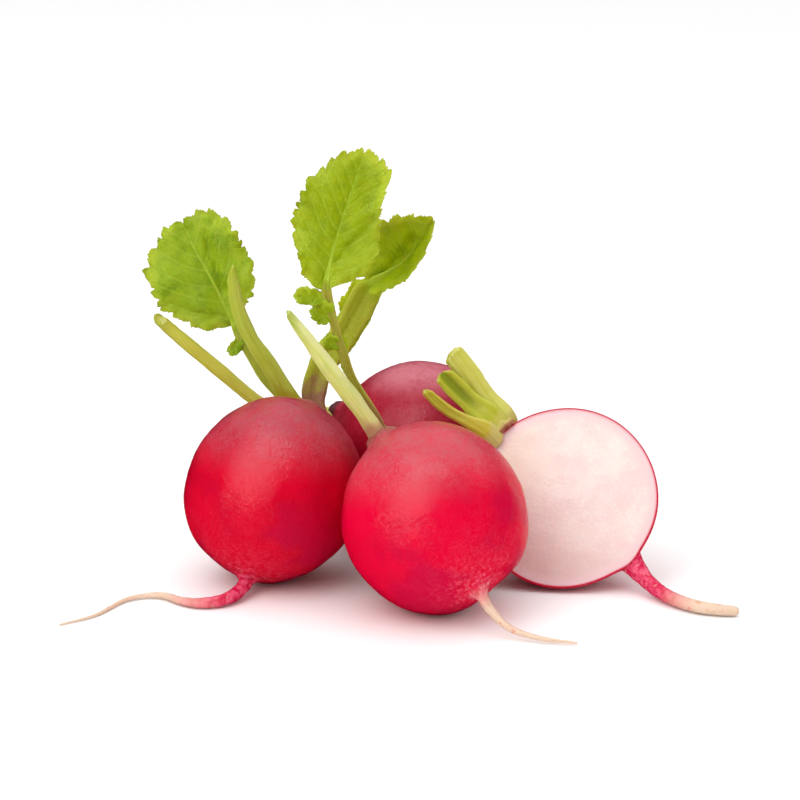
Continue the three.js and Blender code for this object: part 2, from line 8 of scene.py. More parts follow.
import bpy
import numpy as np
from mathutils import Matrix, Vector


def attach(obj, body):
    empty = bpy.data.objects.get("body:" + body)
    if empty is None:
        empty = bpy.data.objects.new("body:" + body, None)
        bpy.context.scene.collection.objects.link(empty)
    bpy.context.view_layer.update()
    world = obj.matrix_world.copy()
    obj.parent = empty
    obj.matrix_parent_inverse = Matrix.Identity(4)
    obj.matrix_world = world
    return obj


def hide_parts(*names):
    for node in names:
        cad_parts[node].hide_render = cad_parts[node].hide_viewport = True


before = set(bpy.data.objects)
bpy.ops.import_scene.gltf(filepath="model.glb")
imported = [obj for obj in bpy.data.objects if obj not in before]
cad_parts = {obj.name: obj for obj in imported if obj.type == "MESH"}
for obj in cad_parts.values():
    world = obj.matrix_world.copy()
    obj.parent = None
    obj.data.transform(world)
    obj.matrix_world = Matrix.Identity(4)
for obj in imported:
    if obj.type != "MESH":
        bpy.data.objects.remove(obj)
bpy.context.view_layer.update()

MM = 0.001
CENTRE_Y = -1.0               # shift that centres the bunch front to back, in mm
TURN = 2 * math.pi

# ---- Forms (mm) ----
CROWN_SWELL = (0.035, 0.42)   # a size as a share of the radius, and a width in radians
CROWN_DIP = (-0.012, 1.0)
UNEVEN_BROAD = 0.008
UNEVEN_FINE = 0.006
GROOVE_WIDTH = 0.55           # of a stalk's channel, as a share of its half width
WAVE_START = 0.7
QUILT = 0.17                  # how far a blade swells between its veins
BLADE_THICK = (0.28, 0.1)     # within, and at the margin
VEIN_RIDGE = (0.05, 0.14)     # how far a vein stands out above, and below
VEIN_WIDTHS = (0.17, 0.13)    # of the side veins and of their branches
VALLEY_WIDTHS = (0.75, 0.38)
RIB_WIDTHS = (0.3, 0.09)      # at a blade's foot, and at its tip
TOOTH_SIZES = (0.35, 1.3)     # shares of a blade's tooth, from the smallest to the largest
TOOTH_TOPS = (0.7, 0.92)      # where a tooth has its top, as a share of its length
LOBE_TEETH = 3.3              # teeth to a lobe
FRILL_TOOTH = 0.9
FRILL_THICK = (0.22, 0.06)
SKIN = 0.8                    # thickness of the half root's skin
COLLAR_PROFILE = (            # heights and radii as shares of the collar's
    (0.35, 1.08), (0.55, 1.0), (0.72, 0.9), (0.85, 0.77), (0.94, 0.61), (0.98, 0.44), (1.0, 0.27),
    (1.0, 0.12))
# The cut edge of the skin: shares of the way across it, and how far behind the cut each one lies. It dips
# under the flesh's face, so that no line parts the two.
RIM_STEPS = ((0.04, 0.0), (0.2, 0.0), (0.5, 0.0), (0.7, 0.003), (0.8, 0.03), (1.0, 0.2))
SUNK = 0.25                   # how far behind the cut the half's collar and tail stay
FLESH_UNDER = 0.75 * SKIN     # how far the flesh's body lies under the outside of the skin
FLESH_DOME = 0.22
# How a tip closes: from how far before the end, with what power, and how much.
TIPS = dict(cut=(0.001, 1, 0.12), blunt=(1.2, 3, 0.55), point=(0.8, 2, 0.7))
# How much wider a stalk is at its foot, and how long that foot is.
FOOT = (1.4, 4.5)
HALF_FOOT = (1.9, 9.5)
LEAF_FOOT = (1.5, 3.5)        # its first number is in mm
FOOT_SINK = 1.2               # how deep a stalk's foot goes on into the crown, and how much it narrows
FOOT_NARROW = 0.65
STRAIGHT_STALK = (1.6, 1.2)   # half width and half depth of a stalk laid straight, for its material

# Relief: heights and sizes of bumps, in mm. The heights of TAIL_CREASES, TAIL_GRAIN and STALK_WANDER are
# shares of the tail's or the stalk's radius.
BULB_DIMPLES = ((0.07, 7.0), (0.02, 1.8))
CROWN_KNOBS = ((0.09, 1.5), (0.04, 0.6))
HALF_KNOBS = ((0.1, 1.5), (0.04, 0.6))
TAIL_CREASES = ((0.018, 2.2),)
TAIL_GRAIN = ((0.03, 1.6),)
BOWL_DIMPLES = ((0.05, 7.0),)
FLESH_GRAIN = ((0.03, 5.0),)
HALF_TAIL_GRAIN = ((0.03, 3.0),)
STALK_GRAIN = ((0.02, 1.2),)
STALK_WANDER = ((0.06, 7.0),)
BLADE_WAVES = ((0.2, 6.5),)
MARGIN_CRINKLES = ((0.22, 2.6),)

# The run, a mark along a root, is 0 at the crown's middle, 1 where the collar meets the bulb, 2 at the bulb's
# root end and 3 at the tail's tip.
COLLAR_RUN = (0.5, 0.0)
SHOULDER_RUN = (0.98, 0.55)
BULB_RUN = (2.0, 1.0)
NECK_RUN = (2.1, 2.0)
TAIL_RUN = (2.1, 3.0)
HALF_TAIL_RUN = (2.1, 2.9)
HALF_NECK_RUN = (1.15, 0.5)
HALF_COLLAR_RUN = (0.36, 0.0)
POLE_HOLE = 0.004             # polar angle of the first ring at the half's back
TAIL_HOLE = 2.9               # radius of the bulb's ring round the tail
COLLAR_HOLE = 1.5             # radius of its ring round the collar, in collar radii
NECK_PULLS = (1.5, 1.3)       # how firmly a bridge keeps its directions at its ends
SHOULDER_PULLS = (1.2, 0.8)

# Roots. crown and root: directions to the two poles. swells: each a direction, a size as a share of the
# radius and a width in radians. stretch: how much longer the bulb is along lean. collar: the way it faces,
# and its size. fade: the runs between which the tail turns cream. tail: stations, each a place and a radius.
LEFT = dict(
    centre=(-21.9, -0.7, 15.95), radius=15.5,
    crown=(0.28, 0.77, 0.58), root=(-0.27, -0.5, -0.82),
    swells=((-0.64, -0.22, -0.74, -0.03, 0.42), (0.71, -0.2, -0.68, -0.02, 0.35)),
    lean=(0.55, 0.2, 0.8), stretch=1.07,
    collar=dict(way=(0.28, 0.77, 0.58), radius=3.5, height=2.0), fade=(2.22, 2.52),
    tail=((-24.5, -5.5, 5.0, 2.4), (-26.1, -8.4, 2.8, 1.3), (-27.8, -12.8, 1.6, 1.15),
          (-30.2, -16.0, 1.3, 1.05), (-33.8, -17.1, 1.1, 0.86), (-37.0, -15.9, 0.95, 0.7),
          (-41.5, -12.2, 0.75, 0.5), (-46.5, -13.2, 0.5, 0.36), (-52.0, -21.4, 0.35, 0.25),
          (-57.4, -25.5, 0.25, 0.14)),
)
FRONT = dict(
    centre=(5.9, -16.5, 16.05), radius=15.85,
    crown=(-0.5, 0.63, 0.6), root=(0.45, -0.72, -0.53),
    swells=((0.45, -0.72, -0.53, -0.02, 0.42), (0.67, -0.21, -0.71, -0.075, 0.34),
            (-0.63, -0.22, -0.75, -0.012, 0.4)),
    lean=(-0.46, 0.25, 0.85), stretch=1.05,
    collar=dict(way=(-0.5, 0.65, 0.58), radius=2.9, height=2.2), fade=(1.98, 2.2),
    tail=((11.6, -25.0, 9.5, 2.4), (13.2, -27.2, 7.1, 1.15), (15.2, -29.0, 4.1, 0.78),
          (18.2, -31.4, 1.9, 0.6), (23.2, -33.7, 0.9, 0.42), (29.4, -34.9, 0.5, 0.2)),
)
BACK = dict(
    centre=(3.5, 20.4, 16.2), radius=16.35,
    crown=(-0.92, 0.24, 0.32), root=(0.9, 0.2, -0.38),
    swells=((0.9, 0.2, -0.38, 0.01, 0.42),),
    lean=(0.3, 0.2, 0.9), stretch=1.01,
    collar=dict(way=(-0.92, 0.3, 0.25), radius=3.0, height=1.6), fade=(2.2, 2.7),
    tail=((15.5, 23.0, 11.4, 2.6), (18.4, 23.8, 9.4, 1.4), (21.2, 24.6, 5.6, 1.15),
          (24.0, 25.4, 2.3, 1.0), (28.0, 26.2, 1.1, 0.8), (34.0, 26.0, 0.8, 0.55),
          (40.5, 23.6, 0.5, 0.25)),
)
HALF = dict(
    centre=(28.8, -3.9, 15.98), radius=16.25,
    crown=(-0.63, 0.58, 0.52), root=(0.686, -0.214, -0.695),
    swells=((0.69, -0.21, -0.7, -0.03, 0.55), (0.69, -0.19, -0.7, 0.04, 0.14),
            (0.69, -0.19, -0.7, 0.01, 0.28)),
    lean=(0.0, 0.0, 1.0), stretch=1.0,
    collar=dict(way=(-0.7, 0.4, 0.6), radius=2.4, height=2.1), fade=(2.44, 2.72),
    tail=((37.9, -6.0, 7.3, 2.7), (39.5, -6.5, 5.6, 2.5), (40.8, -7.3, 4.1, 1.85),
          (42.6, -9.4, 2.5, 1.35), (45.1, -13.6, 1.6, 1.2), (48.1, -17.3, 1.35, 1.1),
          (51.3, -19.7, 1.25, 1.05), (54.6, -20.7, 1.15, 0.95), (57.6, -21.0, 1.0, 0.8)),
)
CUT_POINT = np.array((28.9, -1.85, 15.0))
CUT_NORMAL = np.array((-0.092, -0.873, 0.479))

# Stalks. on: the root one grows from. route: stations from base to tip, each a place, a width and a depth.
# face: the channel's side. channel: its depth, as a share of the stalk's. slant: how far the tip's sides
# part. tone: its look. tip: how it closes, from TIPS.
STALKS = dict(
    left_stalk_low=dict(
        on=LEFT, face=(0.5, 0.3, 0.8), channel=0.3, slant=-1.0, tone="yellow", tip="blunt",
        route=((-19.3, 13.5, 25.5, 2.6, 2.1), (-21.8, 14.1, 26.4, 2.8, 2.5), (-25.2, 14.8, 27.8, 3.0, 2.8),
               (-31.8, 15.6, 33.2, 3.3, 2.8), (-39.5, 14.8, 40.2, 3.0, 2.7),
               (-42.8, 14.6, 43.3, 3.1, 2.2))),
    left_stalk_high=dict(
        on=LEFT, face=(0.3, 0.9, 0.1), channel=0.3, slant=0.8, tone="green", tip="point",
        route=((-17.9, 11.7, 26.1, 3.5, 2.4), (-20.1, 12.2, 29.4, 3.8, 2.4), (-22.9, 12.0, 34.7, 3.2, 2.2),
               (-26.2, 11.5, 40.1, 2.6, 2.0), (-28.3, 11.0, 45.4, 2.8, 1.9), (-29.2, 10.5, 50.8, 2.0, 1.4),
               (-29.3, 10.1, 53.6, 0.8, 0.8))),
    front_stalk=dict(
        on=FRONT, face=(0.4, 0.85, 0.3), channel=0.25, slant=0.4, tone="pale", tip="point",
        route=((-2.7, -5.8, 25.8, 3.2, 2.2), (-4.9, -6.2, 29.6, 3.3, 2.2), (-7.4, -6.5, 33.4, 3.3, 2.1),
               (-11.6, -6.7, 39.2, 3.4, 2.0), (-15.9, -6.9, 45.4, 2.7, 1.8), (-19.2, -7.0, 50.0, 1.2, 1.0))),
    back_stalk_1=dict(
        on=BACK, face=(0.2, 0.0, 1.0), channel=0.3, slant=0.8, tone="olive", tip="cut",
        route=((-12.2, 22.8, 22.2, 2.8, 2.0), (-15.6, 24.6, 21.9, 2.8, 1.9), (-20.5, 28.0, 20.6, 2.6, 1.8))),
    back_stalk_2=dict(
        on=BACK, face=(0.3, 0.3, 0.9), channel=0.3, slant=-0.6, tone="wide", tip="cut",
        route=((-11.2, 26.4, 21.6, 2.5, 1.8), (-13.4, 29.0, 21.6, 2.4, 1.7), (-16.4, 33.0, 20.4, 2.2, 1.6))),
    back_stalk_3=dict(
        on=BACK, face=(-0.3, 0.0, 0.9), channel=0.25, slant=0.5, tone="olive", tip="cut",
        route=((-12.4, 24.6, 19.4, 2.2, 1.7), (-15.6, 26.4, 18.4, 2.0, 1.6), (-19.4, 29.0, 16.6, 1.9, 1.5))),
    half_stalk_1=dict(
        on=HALF, face=(0.2, 0.8, -0.4), channel=0.25, slant=0.25, tone="wide", tip="blunt",
        route=((18.3, 7.9, 24.7, 3.0, 1.7), (17.2, 7.8, 26.6, 3.4, 1.7), (15.5, 8.1, 29.1, 3.7, 1.7),
               (12.5, 8.8, 33.9, 3.9, 1.6), (9.0, 9.6, 38.3, 3.7, 1.4))),
    half_stalk_2=dict(
        on=HALF, face=(0.3, -0.9, 0.3), channel=0.55, slant=0.3, tone="olive", tip="blunt",
        route=((17.0, 5.7, 24.9, 3.0, 1.6), (15.2, 5.6, 27.3, 3.4, 1.7), (13.6, 5.7, 28.8, 3.8, 1.8),
               (9.8, 6.2, 32.5, 3.9, 1.8), (7.2, 6.4, 35.2, 3.3, 1.5))),
    half_stalk_3=dict(
        on=HALF, face=(0.2, -0.9, 0.3), channel=0.2, slant=0.4, tone="brown", tip="blunt", flare=2.3,
        route=((16.6, 4.2, 23.5, 1.8, 1.5), (14.8, 3.5, 25.6, 1.9, 1.6), (12.4, 3.0, 27.1, 1.9, 1.6),
               (8.7, 2.9, 29.2, 2.0, 1.6), (6.1, 2.5, 31.4, 1.9, 1.6), (4.3, 2.2, 33.4, 1.6, 1.4))),
)


def leaflet(route, radii, **blade):
    """A small blade on its own stalk, for a leaf's table."""
    return dict(route=route, blade=dict(radii=radii, curl=0.02, waves=3, **blade))


# Leaves. stalk and rib: stations, as in a stalk. rib_width: how much of its width the rib keeps on the blade.
# A blade's radii are at equal angles about a point that lies centre past the foot, from the tip round
# by the left side. tooth and lobes are shares of the radius. fold: how far each half turns up, in radians.
# folds: creases, each from a place along and across the blade to another, a width and a depth. rolls: where
# the margin turns over, each an angle, a width and a lift. frills: strips of leaf along the stalk, each from
# and to a length, a side and a width.
LEAVES = dict(
    left_leaf_round=dict(
        face=(-0.1, -0.97, 0.2), channel=0.2,
        stalk=((-17.4, 15.4, 23.2, 1.9, 1.7), (-20.0, 17.6, 26.2, 1.8, 1.6), (-24.2, 17.9, 31.1, 1.8, 1.5),
               (-26.7, 18.1, 35.4, 1.7, 1.4), (-28.8, 18.2, 39.4, 1.6, 1.3)),
        rib=((-30.2, 18.6, 42.1, 1.3, 1.1), (-33.4, 19.8, 48.6, 1.0, 0.9), (-36.8, 21.6, 54.5, 0.7, 0.8),
             (-37.9, 22.6, 56.8, 0.4, 0.6)),
        blade=dict(centre=12.4, teeth=24, tooth=0.1, fold=(0.12, 0.16), curl=0.012, ruffle=0.8, waves=5,
                   radii=(9.9, 10.2, 10.3, 10.7, 10.7, 10.6, 10.6, 10.8, 10.6, 9.6, 8.8, 8.4, 8.1, 8.8,
                          10.6, 10.6),
                   veins=6, folds=((8.0, -0.9, 18.5, -2.9, 0.8, 0.8), (6.0, 3.0, 13.0, 8.5, 1.4, -0.4)),
                   rolls=((2.3, 0.5, 0.8),), lobes=0.055),
        frills=((1.5, 7.0, 1, 1.0), (7.5, 13.0, -1, 0.5)),
        leaflets=(
            leaflet(((-28.4, 18.0, 38.0), (-30.0, 17.4, 35.6)), (1.9, 1.4, 1.2, 1.3, 1.6, 1.3, 1.1, 1.6),
                    centre=1.4, teeth=7, tooth=0.28, fold=(0.3, 0.1), ruffle=0.5),
        )),
    left_leaf_folded=dict(
        face=(-0.1, -0.96, 0.2), channel=0.5, rib_width=0.75,
        stalk=((-15.3, 12.6, 25.2, 3.2, 2.2), (-15.3, 14.6, 29.5, 4.4, 2.4), (-13.8, 16.0, 34.2, 4.5, 2.4),
               (-10.1, 16.6, 39.0, 4.8, 2.3), (-7.5, 16.8, 43.8, 5.2, 2.2), (-5.9, 16.6, 47.0, 5.2, 2.0)),
        rib=((-2.6, 16.3, 50.0, 2.4, 1.4), (0.6, 15.6, 52.6, 1.2, 1.0), (3.5, 14.2, 56.7, 0.8, 0.8),
             (5.2, 12.8, 59.9, 0.5, 0.6)),
        blade=dict(centre=8.8, teeth=22, tooth=0.13, fold=(0.15, 1.1), curl=-0.012, ruffle=0.5, waves=4,
                   radii=(10.9, 10.5, 9.4, 7.2, 6.0, 6.8, 8.2, 7.2, 5.8, 5.6, 6.1, 8.5),
                   veins=5, folds=((3.0, 0.8, 14.0, 1.6, 0.9, 0.9),),
                   rolls=((1.2, 0.65, 1.5), (5.4, 0.5, 0.8)), lobes=0.03),
        frills=((9.0, 22.5, 1, 0.55), (19.5, 26.0, 1, 1.5), (14.0, 24.0, -1, 0.35)),
        leaflets=()),
    front_leaf_tall=dict(
        face=(0.12, -0.97, 0.1), channel=0.25,
        stalk=((-2.4, -3.4, 26.2, 1.7, 1.5), (-3.9, -3.4, 29.6, 1.8, 1.5), (-8.3, -2.8, 37.1, 1.6, 1.4),
               (-9.9, -2.2, 41.8, 1.5, 1.3), (-11.3, -1.8, 46.4, 1.5, 1.3), (-12.6, -1.2, 52.5, 1.7, 1.3)),
        rib=((-12.3, -0.6, 55.4, 1.5, 1.2), (-11.2, 0.4, 59.9, 1.1, 1.0), (-8.9, 2.2, 67.0, 0.8, 0.8),
             (-6.6, 4.2, 73.6, 0.4, 0.6)),
        blade=dict(centre=12.5, teeth=26, tooth=0.09, fold=(0.12, 0.25), curl=0.01, ruffle=0.9, waves=5,
                   radii=(12.1, 10.5, 9.1, 8.5, 8.3, 8.6, 9.3, 11.3, 12.5, 11.7, 9.9, 8.3, 7.1, 6.7, 8.3,
                          12.1),
                   veins=8, folds=((5.0, -1.2, 16.0, -6.5, 0.7, 0.55), (9.0, 1.5, 19.0, 4.5, 1.3, -0.35)),
                   rolls=((5.7, 0.5, 1.9),), lobes=0.065),
        frills=((13.0, 21.0, 1, 0.45), (16.5, 20.5, -1, 0.7), (24.0, 27.0, 1, 0.5)),
        leaflets=(
            leaflet(((-12.4, -1.4, 50.6), (-18.0, -2.2, 51.4)), (2.7, 2.0, 1.4, 1.9, 2.8, 2.1, 1.7, 2.3),
                    centre=3.2, teeth=9, tooth=0.16, fold=(0.5, 0.1), ruffle=0.5, veins=4),
            leaflet(((-11.6, -1.8, 47.4), (-14.9, -2.0, 48.5)), (2.5, 1.9, 1.7, 1.6, 1.6, 2.2, 2.7, 2.5),
                    centre=1.6, teeth=9, tooth=0.2, fold=(0.3, 0.2), ruffle=0.5),
            leaflet(((-10.2, -2.2, 42.6), (-12.9, -2.6, 43.6)), (1.9, 1.6, 1.2, 1.1, 1.2, 1.2, 1.4, 1.8),
                    centre=1.3, teeth=7, tooth=0.28, fold=(0.3, 0.1), ruffle=0.4),
        )),
)

# ---- Fineness ----
SIDES = 160                   # round a root
BULB_RINGS = 150
BRIDGE_RINGS = 16
TAIL_RINGS = 110
BOWL_RINGS = 96
STALK_SIDES = 56
STALK_RINGS = 110
TOOTH_POINTS = 14             # margin points a tooth of a leaf
BLADE_RINGS = (36, 30)        # within a blade and near its margin
LEAFLET_RINGS = (12, 14)
LARGE_BLADE = 4               # radius over which a blade is fine
FRILL_POINTS = 160
ROUTE_POINTS = 1201

AROUND = np.arange(SIDES) * TURN / SIDES


# ---- Small helpers ----
def unit(v):
    v = np.asarray(v, float)
    return v / np.linalg.norm(v, axis=-1, keepdims=True)


def bell(x, width):
    return np.exp(-(x / width) ** 2)


def smooth(low, high, x):
    t = np.clip((x - low) / (high - low), 0, 1)
    return t * t * (3 - 2 * t)


def mix(a, b, share):
    return a + (b - a) * share


def tooth(share, top):
    """A tooth's height at a share of its length: a steady rise to its top, then a drop."""
    return np.where(share < top, share / top, (1 - share) / (1 - top))


def angle_to(ways, pole):
    return np.arccos(np.clip(ways @ unit(pole), -1, 1))


def crosswise(axis):
    """Two unit vectors square to an axis and to each other, the first of them level."""
    side = unit(np.cross((0, 0, 1), axis))
    return side, np.cross(axis, side)


def circle(side, front):
    """The places round a circle that has two directions."""
    return np.cos(AROUND)[:, None] * side + np.sin(AROUND)[:, None] * front


def ripple(points, size, seed, waves=10):
    """Smooth irregular bumps of about the size given, mostly between -1 and 1."""
    draw = np.random.default_rng(seed)
    ways = unit(draw.normal(size=(waves, 3))) * (TURN / size)
    ways *= draw.uniform(0.6, 1.5, (waves, 1))
    starts = draw.uniform(0, TURN, waves)
    return np.sin(points @ ways.T + starts).sum(-1) / math.sqrt(waves)


def relief(points, steps, seed):
    """Ripples of several heights and sizes on top of each other."""
    return sum(height * ripple(points, size, seed + k) for k, (height, size) in enumerate(steps))


def turned(v, axis, angle):
    """Vectors turned about a unit axis, each by its own angle."""
    c, s = np.cos(angle)[..., None], np.sin(angle)[..., None]
    return v * c + np.cross(axis, v) * s + axis * (v @ axis)[..., None] * (1 - c)


def drawn_in(rings, share):
    """Rings drawn in towards their middles by a share."""
    return mix(rings, rings.mean(1, keepdims=True), share)


def on_table(rings):
    rings[..., 2] = np.maximum(rings[..., 2], 0.0)
    return rings


class Route:
    """A smooth centripetal curve through given stations, with the numbers that go with them."""

    def __init__(self, stations):
        self.stations = np.asarray(stations, float)
        p = self.stations[:, :3]
        ends = np.vstack([2 * p[0] - p[1], p, 2 * p[-1] - p[-2]])
        gaps = np.sqrt(np.linalg.norm(np.diff(ends, axis=0), axis=1))[:, None]
        x0, x1, x2, x3 = ends[:-3], ends[1:-2], ends[2:-1], ends[3:]
        d0, d1, d2 = gaps[:-2], gaps[1:-1], gaps[2:]
        t1 = ((x1 - x0) / d0 - (x2 - x0) / (d0 + d1) + (x2 - x1) / d1) * d1
        t2 = ((x2 - x1) / d1 - (x3 - x1) / (d1 + d2) + (x3 - x2) / d2) * d1
        self.parts = np.stack([x1, t1, 3 * (x2 - x1) - 2 * t1 - t2, 2 * (x1 - x2) + t1 + t2])
        self.shares = np.linspace(0, 1, ROUTE_POINTS)
        steps = np.linalg.norm(np.diff(self.at(self.shares), axis=0), axis=1)
        self.lengths = np.concatenate([[0], np.cumsum(steps)])
        self.length = self.lengths[-1]

    def _place(self, u):
        run = np.asarray(u, float) * (len(self.stations) - 1)
        k = np.clip(run.astype(int), 0, len(self.stations) - 2)
        return k, (run - k)[..., None]

    def at(self, u):
        k, t = self._place(u)
        a, b, c, d = self.parts[:, k]
        return a + t * (b + t * (c + t * d))

    def ahead(self, u):
        k, t = self._place(u)
        _, b, c, d = self.parts[:, k]
        return unit(b + t * (2 * c + 3 * t * d))

    def number(self, column, u):
        """The number in column at share u, even between stations."""
        k, t = self._place(u)
        values = self.stations[:, column]
        return mix(values[k], values[k + 1], t[..., 0])

    def share_at(self, length):
        return np.interp(length, self.lengths, self.shares)

    def length_at(self, share):
        return np.interp(share, self.shares, self.lengths)

    def frame(self, u, face):
        """Point, way ahead, left and face at each share."""
        t = self.ahead(u)
        face = unit(face)
        n = unit(face - t * (t * face).sum(-1, keepdims=True))
        return self.at(u), t, np.cross(n, t), n


# ---- Meshes ----
def tube_faces(rings, sides):
    """Quads of a grid of rings, and a fan at each end to the two points after them."""
    k = np.arange(rings - 1)[:, None] * sides
    i = np.arange(sides)[None]
    j = (i + 1) % sides
    quads = np.stack([k + i, k + j, k + sides + j, k + sides + i], -1).reshape(-1, 4).tolist()
    top = (rings - 1) * sides
    first, last = rings * sides, rings * sides + 1
    quads += [(int(b), int(a), first) for a, b in zip(i[0], j[0])]
    quads += [(int(top + a), int(top + b), last) for a, b in zip(i[0], j[0])]
    return quads


def normals_of(grid):
    """Unit normals of a closed grid of rings, pointing out."""
    round_ = np.roll(grid, -1, 1) - np.roll(grid, 1, 1)
    along = np.gradient(grid, axis=0)
    n = np.cross(round_, along)
    n /= np.linalg.norm(n, axis=-1, keepdims=True) + 1e-9
    middle = grid.mean(1, keepdims=True)
    return n * np.sign(((grid - middle) * n).sum() + 1e-9)


def volume_of(points, faces):
    """Six times the volume inside a closed shell, negative if its faces point in."""
    total = 0.0
    points = points - points.mean(0)
    for corners in (3, 4):
        group = np.array([face for face in faces if len(face) == corners])
        for k in range(1, corners - 1):
            a, b, c = points[group[:, 0]], points[group[:, k]], points[group[:, k + 1]]
            total += (a * np.cross(b, c)).sum()
    return total


def shell(rings, ends=None, **marks):
    """A closed tube through rings. Each mark has a number or vector for each point, or a number a ring."""
    count, sides = rings.shape[:2]
    ends = ends if ends is not None else (rings[0].mean(0), rings[-1].mean(0))
    points = np.vstack([rings.reshape(-1, 3), ends])
    faces = tube_faces(count, sides)
    if volume_of(points, faces) < 0:
        faces = [face[::-1] for face in faces]
    values = {}
    for mark, grid in marks.items():
        if np.ndim(grid) < 2:
            grid = np.zeros((count, sides)) + np.reshape(grid, (-1, 1))
        flat = grid.reshape(count * sides, *grid.shape[2:])
        values[mark] = np.concatenate([flat, grid[0].mean(0)[None], grid[-1].mean(0)[None]])
    return points, faces, values


def add_object(name, data):
    made = bpy.data.objects.new(name, data)
    bpy.context.scene.collection.objects.link(made)
    return made


def make_piece(name, shells, material):
    """A mesh object in the frame, in place of its node, from closed shells in millimetres."""
    mesh = bpy.data.meshes.new(name)
    starts = np.cumsum([0] + [len(points) for points, _, _ in shells])
    faces = [tuple(corner + int(start) for corner in face)
             for start, (_, group, _) in zip(starts, shells) for face in group]
    places = (np.concatenate([points for points, _, _ in shells]) + (0, CENTRE_Y, 0)) * MM
    mesh.from_pydata(on_table(places).tolist(), [], faces)
    for mark in shells[0][2]:
        values = np.concatenate([marks[mark] for _, _, marks in shells]).astype(np.float32)
        kind, field = ("FLOAT", "value") if values.ndim == 1 else ("FLOAT_VECTOR", "vector")
        mesh.attributes.new(mark, kind, "POINT").data.foreach_set(field, values.ravel())
    mesh.polygons.foreach_set("use_smooth", [True] * len(mesh.polygons))
    mesh.materials.append(material)
    mesh.validate()
    piece = add_object("fine_" + name, mesh)
    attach(piece, "root")
    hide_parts(name)


# ---- Roots ----
def bulb_reach(root, ways):
    """Distance from a bulb's centre to its skin."""
    to_crown = angle_to(ways, root["crown"])
    total = 1.0
    for size, width in (CROWN_SWELL, CROWN_DIP):
        total = total + size * bell(to_crown, width)
    for x, y, z, size, width in root["swells"]:
        total = total + size * bell(angle_to(ways, (x, y, z)), width)
    x, y, z = ways[..., 0], ways[..., 1], ways[..., 2]
    total = total + UNEVEN_BROAD * np.sin(3 * x + 2 * z) + UNEVEN_FINE * np.sin(4 * y - 3 * x + 1)
    return root["radius"] * total


def skin_points(root, ways):
    """Points on a bulb's skin."""
    lean = unit(root["lean"])
    p = ways * bulb_reach(root, ways)[..., None]
    return p + (root["stretch"] - 1) * (p @ lean)[..., None] * lean + np.array(root["centre"])


def ways_about(pole, side, front, polar):
    """Directions in rings about a pole, at polar angles from it."""
    polar = polar[:, None, None]
    return np.cos(polar) * pole + np.sin(polar) * circle(side, front)


def bulb_ways(root, polar):
    """Directions over a bulb, in rings from the root pole to the crown, both poles where they really are."""
    crown, tip = unit(root["crown"]), unit(root["root"])
    up = unit(crown - tip)
    ways = ways_about(-up, *crosswise(up), polar)
    share_up = ((1 - np.cos(polar)) / 2)[:, None] + 0 * AROUND
    for pole, old, share in ((tip, -up, 1 - share_up), (crown, up, share_up)):
        axis = np.cross(old, pole)
        lean = math.asin(min(1.0, float(np.linalg.norm(axis))))
        ways = turned(ways, unit(axis), lean * share ** 3)
    return ways


def bridge(edge, before, end, way, pulls):
    """Rings that lead on smoothly from a bulb's edge to an end ring that faces way, without those two."""
    gap = np.linalg.norm(end.mean(0) - edge.mean(0))
    leaving = unit(edge - before) * gap * pulls[0]
    arriving = way * gap * pulls[1]
    t = np.linspace(0, 1, BRIDGE_RINGS + 2)[1:-1, None, None]
    return ((2 * t ** 3 - 3 * t ** 2 + 1) * edge + (t ** 3 - 2 * t ** 2 + t) * leaving
            + (3 * t ** 2 - 2 * t ** 3) * end + (t ** 3 - t ** 2) * arriving)


def carried_sides(ahead, first):
    """A side direction for each way ahead, carried along without twisting."""
    sides = [unit(first - ahead[0] * (first @ ahead[0]))]
    for t in ahead[1:]:
        sides.append(unit(sides[-1] - t * (sides[-1] @ t)))
    return np.array(sides)


def tail_rings(root, first_share, side):
    """Rings of the taproot from first_share to its tip, how far along each is, and the ways ahead."""
    route = Route(root["tail"])
    lengths = np.linspace(route.length_at(first_share), route.length, TAIL_RINGS)
    shares = route.share_at(lengths)
    ahead = route.ahead(shares)
    sides = carried_sides(ahead, side)
    other = -np.cross(ahead, sides)
    radius = route.number(3, shares)
    rings = route.at(shares)[:, None] + circle(sides[:, None], other[:, None]) * radius[:, None, None]
    return rings, lengths - lengths[0], ahead


def share_past_skin(root, clear=1.6):
    """The share of the tail's route at which it has come out of the bulb by clear, in mm."""
    route, centre = Route(root["tail"]), np.array(root["centre"])
    away = np.linalg.norm(route.at(route.shares) - centre, axis=1)
    reach = np.linalg.norm(skin_points(root, unit(root["root"])[None])[0] - centre)
    return route.shares[np.argmax(away > reach + clear)]


def collar_rings(root):
    """Rings of the knobbly collar, from its waist to the middle of its top, and the way it faces."""
    collar = root["collar"]
    way, pole = unit(collar["way"]), unit(root["crown"])
    foot = skin_points(root, pole[None])[0]
    side, front = crosswise(way)
    rings = []
    for up, size in COLLAR_PROFILE:
        r = collar["radius"] * size * (1 + 0.06 * np.cos(5 * AROUND + 1) * min(1, 2 * size - 0.6))
        rings.append(foot + way * up * collar["height"] + r[:, None] * circle(side, front))
    return np.array(rings), way


